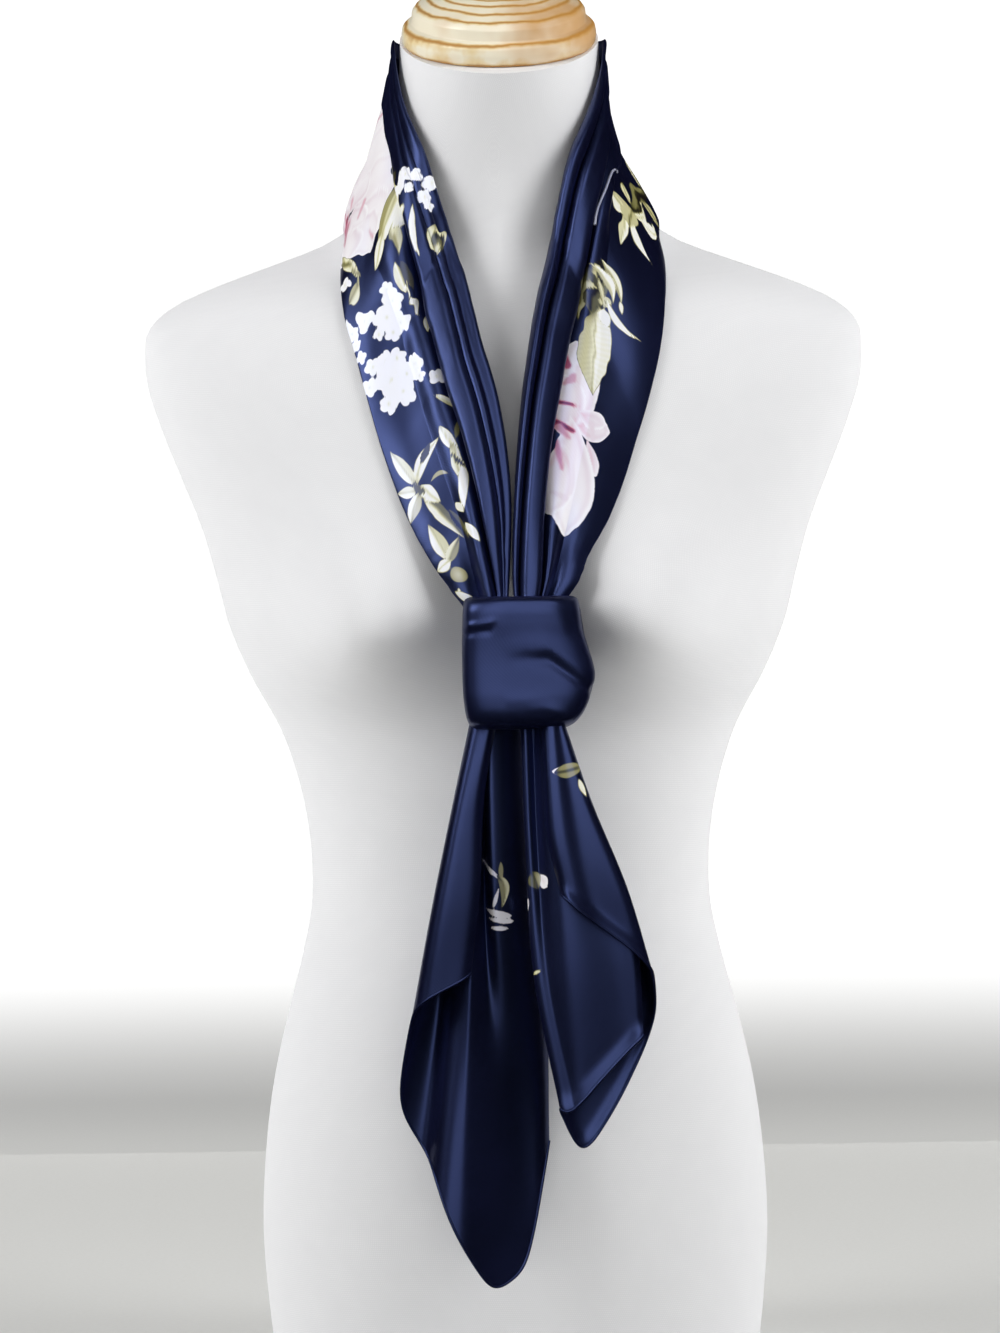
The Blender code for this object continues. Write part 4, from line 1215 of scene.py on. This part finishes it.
def tailPoints(columns, flare):
    # rows of points down a tail, folded across between its fold lines
    down = np.linspace(0, 1, tails["rows"] + 1)
    thirds = (0, 1 / 3, 2 / 3, 1)
    lines = []
    for fold in columns:
        places = smoothCurve(thirds, [(fold[f"x{k}"], fold[f"y{k}"]) for k in range(4)], down)
        lines.append(np.column_stack([places, tails["top"] + (fold["hemZ"] - tails["top"]) * down]))
    pleats = []
    for k in range(len(columns) - 1):
        before, after = columns[k]["pinch"], columns[k + 1]["pinch"]
        rising = after is crest
        low, high = (lines[k], lines[k + 1]) if rising else (lines[k + 1], lines[k])
        if (before is crest) == (after is crest):
            step = np.arange(tails["columnsPerFold"] + 1) / tails["columnsPerFold"]
            across = up = step if rising else 1 - step
        else:
            pinch = before if rising else after
            step, across, up = foldShape(tails["columnsPerFold"], rising, pinch, tails["crestPower"])
        share = np.stack([across, up, across], axis=1)
        keep = slice(0, None if k == len(columns) - 2 else -1)
        pleats.append((low[:, None] + (high - low)[:, None] * share[None])[:, keep])
    points = np.concatenate(pleats, axis=1)
    for _ in range(tails["softening"]):
        points[:, 1:-1] = (points[:, :-2] + 2 * points[:, 1:-1] + points[:, 2:]) / 4
    # the hem stands forward a little, where the cloth is rolled
    toHem = points[:, :, 2] - points[-1:, :, 2]
    points[:, :, 1] -= flare * np.exp(-((toHem / tails["flareDepth"]) ** 2))
    return points


# What shows of the print on the tails: parts of small leaves and pale strokes.
tailPrint = {
    "long_tail": {
        "leaves": table(leafColumns, (
            (76, 76, 88, 79, 3.4, 0.5),
            (83, 75, 103, 81, 6.4, 0.8, -0.35, 4.4),
        )),
        "petals": table(petalColumns, (
            (74, 56, 86, 78, 2.2, 0.98, 1),
            (90, 78, 101, 76, 2.6, 0.92),
            (101, 68, 107, 90, 3.4, 0.98),
            (106, 72, 110, 92, 2.8, 0.98),
            (111, 74, 113, 88, 2.4, 0.95),
        )),
    },
    "short_tail": {
        "leaves": table(leafColumns, (
            (31, 9, 30, 26, 8, 0.42),
            (36, 21, 47, 24, 2.8, 0.9),
            (81, 94, 91, 104, 6.2, 0.6, -0.3),
            (133, 125, 135, 119, 2.3, 0.75),
        )),
        "petals": table(petalColumns, (
            (30, 8, 31, 17, 5, 0.98),
            (83, 100, 90, 110, 5.4, 0.98),
            (95, 100, 103, 103, 3, 0.95),
        )),
    },
}
for name, columns, node in (("long_tail", longTail, "tail_long"), ("short_tail", shortTail, "tail_short")):
    points = tailPoints(columns, tails["hemFlare"][name])
    tail = newPiece(name, placedGrid(points), printedSilk)
    along, across = flatPlaces(points, len(points[0]) // 2)
    giveUv(tail, along, across)
    printOn(tail, along, across, tailPrint[name])
    thicken(tail, tails["thickness"])
    hemPoints = hemTube(points[-1], tails["hemRadius"])
    hem = newPiece(name + "_hem", placedGrid(hemPoints), plainSilk)
    giveUv(hem, arcLengths(hemPoints, 0), arcLengths(hemPoints, 1))
    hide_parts(node)
print("tails made")

# A round white cove stands about the form and is only seen.  A swept card behind and under the
# form lights it from there, and isn't seen.  Lengths in metres; the paper glows more from front
# to back, but not close to the form.
sheets = table((
    "name", "paper", "flatTo", "corner", "top", "frontGlow", "backGlow", "front", "back", "clear",
), (
    ("floor", "Matt white paper", 6.0, 1.0, 6.0, 0.38, 0.95, -1.0, 3.0, 4.0),
    ("reflector_card", "White reflector card", 1.1, 0.5, 2.6, 0.0, 0.68, -0.15, 0.12, 0.01),
))
cardSize = 4.0
fibreSize = 3.33    # mm; real paper fibres are finer


def whitePaper(sheet):
    material = newMaterial(sheet["paper"])
    place = addNode(material, "TexCoord", None, "Object")
    fibre = addNode(material, "TexNoise", Vector=place, Scale=noiseScale(fibreSize))
    color = addRamp(material, fibre, [(0.0, "#cfcfcc"), (1.0, "#d6d6d4")])
    lit = addNode(
        material, "MapRange", {"interpolation_type": "SMOOTHSTEP"},
        Value=addNode(material, "SeparateXYZ", None, "Y", Vector=place),
        From_Min=sheet["front"], From_Max=sheet["back"], To_Min=sheet["frontGlow"], To_Max=sheet["backGlow"],
    )
    off = addNode(
        material, "MapRange", {"interpolation_type": "SMOOTHSTEP"},
        Value=addNode(material, "VectorMath", {"operation": "LENGTH"}, "Value", i0=place),
        From_Min=0.2 * sheet["clear"], From_Max=sheet["clear"],
    )
    strength = addNode(material, "Math", {"operation": "MULTIPLY"}, i0=lit, i1=off)
    shader = addNode(
        material, "BsdfPrincipled", Base_Color=color, Roughness=0.9,
        Emission_Strength=strength, Emission_Color=(1, 1, 1, 1),
    )
    return finishMaterial(material, shader)


def sweptSheet(sheet, spread):
    # a floor that turns up into a wall, from a profile along y that spread moves round or across
    bm = bmesh.new()
    flatTo, corner = sheet["flatTo"], sheet["corner"]
    turned = [
        (flatTo + corner * math.sin(a), corner * (1 - math.cos(a))) for a in np.linspace(0, math.pi / 2, 13)
    ]
    verts = [bm.verts.new((0, y, z)) for y, z in [(0, 0), *turned, (flatTo + corner, sheet["top"])]]
    spread(bm, [bm.edges.new(pair) for pair in zip(verts, verts[1:])])
    bmesh.ops.recalc_face_normals(bm, faces=bm.faces)
    made = smoothObject(sheet["name"], bm, whitePaper(sheet))
    made.visible_glossy = False     # white paper all round would veil the dark satin
    return made


def spreadRound(bm, edges):
    bmesh.ops.spin(
        bm, geom=list(bm.verts) + edges, axis=(0, 0, 1), cent=(0, 0, 0),
        angle=2 * math.pi, steps=96, use_merge=True,
    )
    bmesh.ops.remove_doubles(bm, verts=bm.verts, dist=0.01 * mm)


def spreadAcross(bm, edges):
    # to the front of the form as well as to both sides, just under the floor
    half = cardSize / 2
    edges[0].verts[0].co.y = -half
    bmesh.ops.translate(bm, verts=bm.verts, vec=(-half, 0, -3 * mm))
    sides = bmesh.ops.extrude_edge_only(bm, edges=edges)
    moved = [v for v in sides["geom"] if isinstance(v, bmesh.types.BMVert)]
    bmesh.ops.translate(bm, verts=moved, vec=(cardSize, 0, 0))


cove = sweptSheet(sheets[0], spreadRound)
cove.visible_diffuse = cove.visible_shadow = False
card = sweptSheet(sheets[1], spreadAcross)
card.visible_camera = False

world = bpy.data.worlds.new("Soft room")
world.use_nodes = True
air = world.node_tree.nodes["Background"].inputs
air["Color"].default_value = hexColor("#ffffff")
air["Strength"].default_value = 0.25
world.cycles_visibility.glossy = False
bpy.context.scene.world = world
bpy.context.scene.view_settings.view_transform = "Standard"

# The softboxes are mirrored in the satin; the bounce boards fill the shadows softly and stand
# where the satin doesn't mirror them.
lamps = table(("name", "x", "y", "z", "width", "height", "watts", "mirrored", "fills"), (
    ("left softbox", -1.6, -1.15, 1.5, 0.8, 0.9, 15, True, False),
    ("front softbox", -0.3, -3.0, 1.3, 1.9, 2.3, 29, True, False),
    ("high softbox", 0.3, -2.0, 2.5, 1.3, 0.8, 9, True, False),
    ("right bounce", 1.75, -0.85, 1.35, 1.0, 1.5, 31, False, True),
    ("left bounce", -1.75, -0.9, 1.3, 1.0, 1.5, 30, False, True),
    ("top bounce", 0.0, -0.9, 2.2, 1.4, 0.8, 2.5, False, True),
))
lampAim = Vector((0, -0.05, 0.42))
for row in lamps:
    light = bpy.data.lights.new(row["name"], "AREA")
    light.shape = "RECTANGLE"
    light.size, light.size_y, light.energy = row["width"], row["height"], row["watts"]
    lamp = bpy.data.objects.new(row["name"], light)
    lamp.location = (row["x"], row["y"], row["z"])
    lamp.rotation_euler = (lampAim - lamp.location).to_track_quat("-Z", "Y").to_euler()
    lamp.visible_glossy, lamp.visible_diffuse = row["mirrored"], row["fills"]
    bpy.context.scene.collection.objects.link(lamp)

view = {
    "distance": 2.6,         # metres in front of the neck
    "height": 0.3884,
    "side": -0.0043,
    "roll": 0.01404,         # radians
    "frameRows": 1333,       # pixels
    "rowSize": 0.56,         # mm that a pixel spans at that distance
    "sensor": 36.0,          # mm
}
camera = bpy.data.cameras.new("Camera")
camera.sensor_fit = "VERTICAL"
camera.sensor_height = view["sensor"]
camera.lens = view["sensor"] * view["distance"] / (view["frameRows"] * view["rowSize"] * mm)
eye = bpy.data.objects.new("Camera", camera)
eye.location = (view["side"], -view["distance"], view["height"])
eye.rotation_euler = (math.pi / 2, view["roll"], 0)
bpy.context.scene.collection.objects.link(eye)
bpy.context.scene.camera = eye
print("floor, light and camera set")
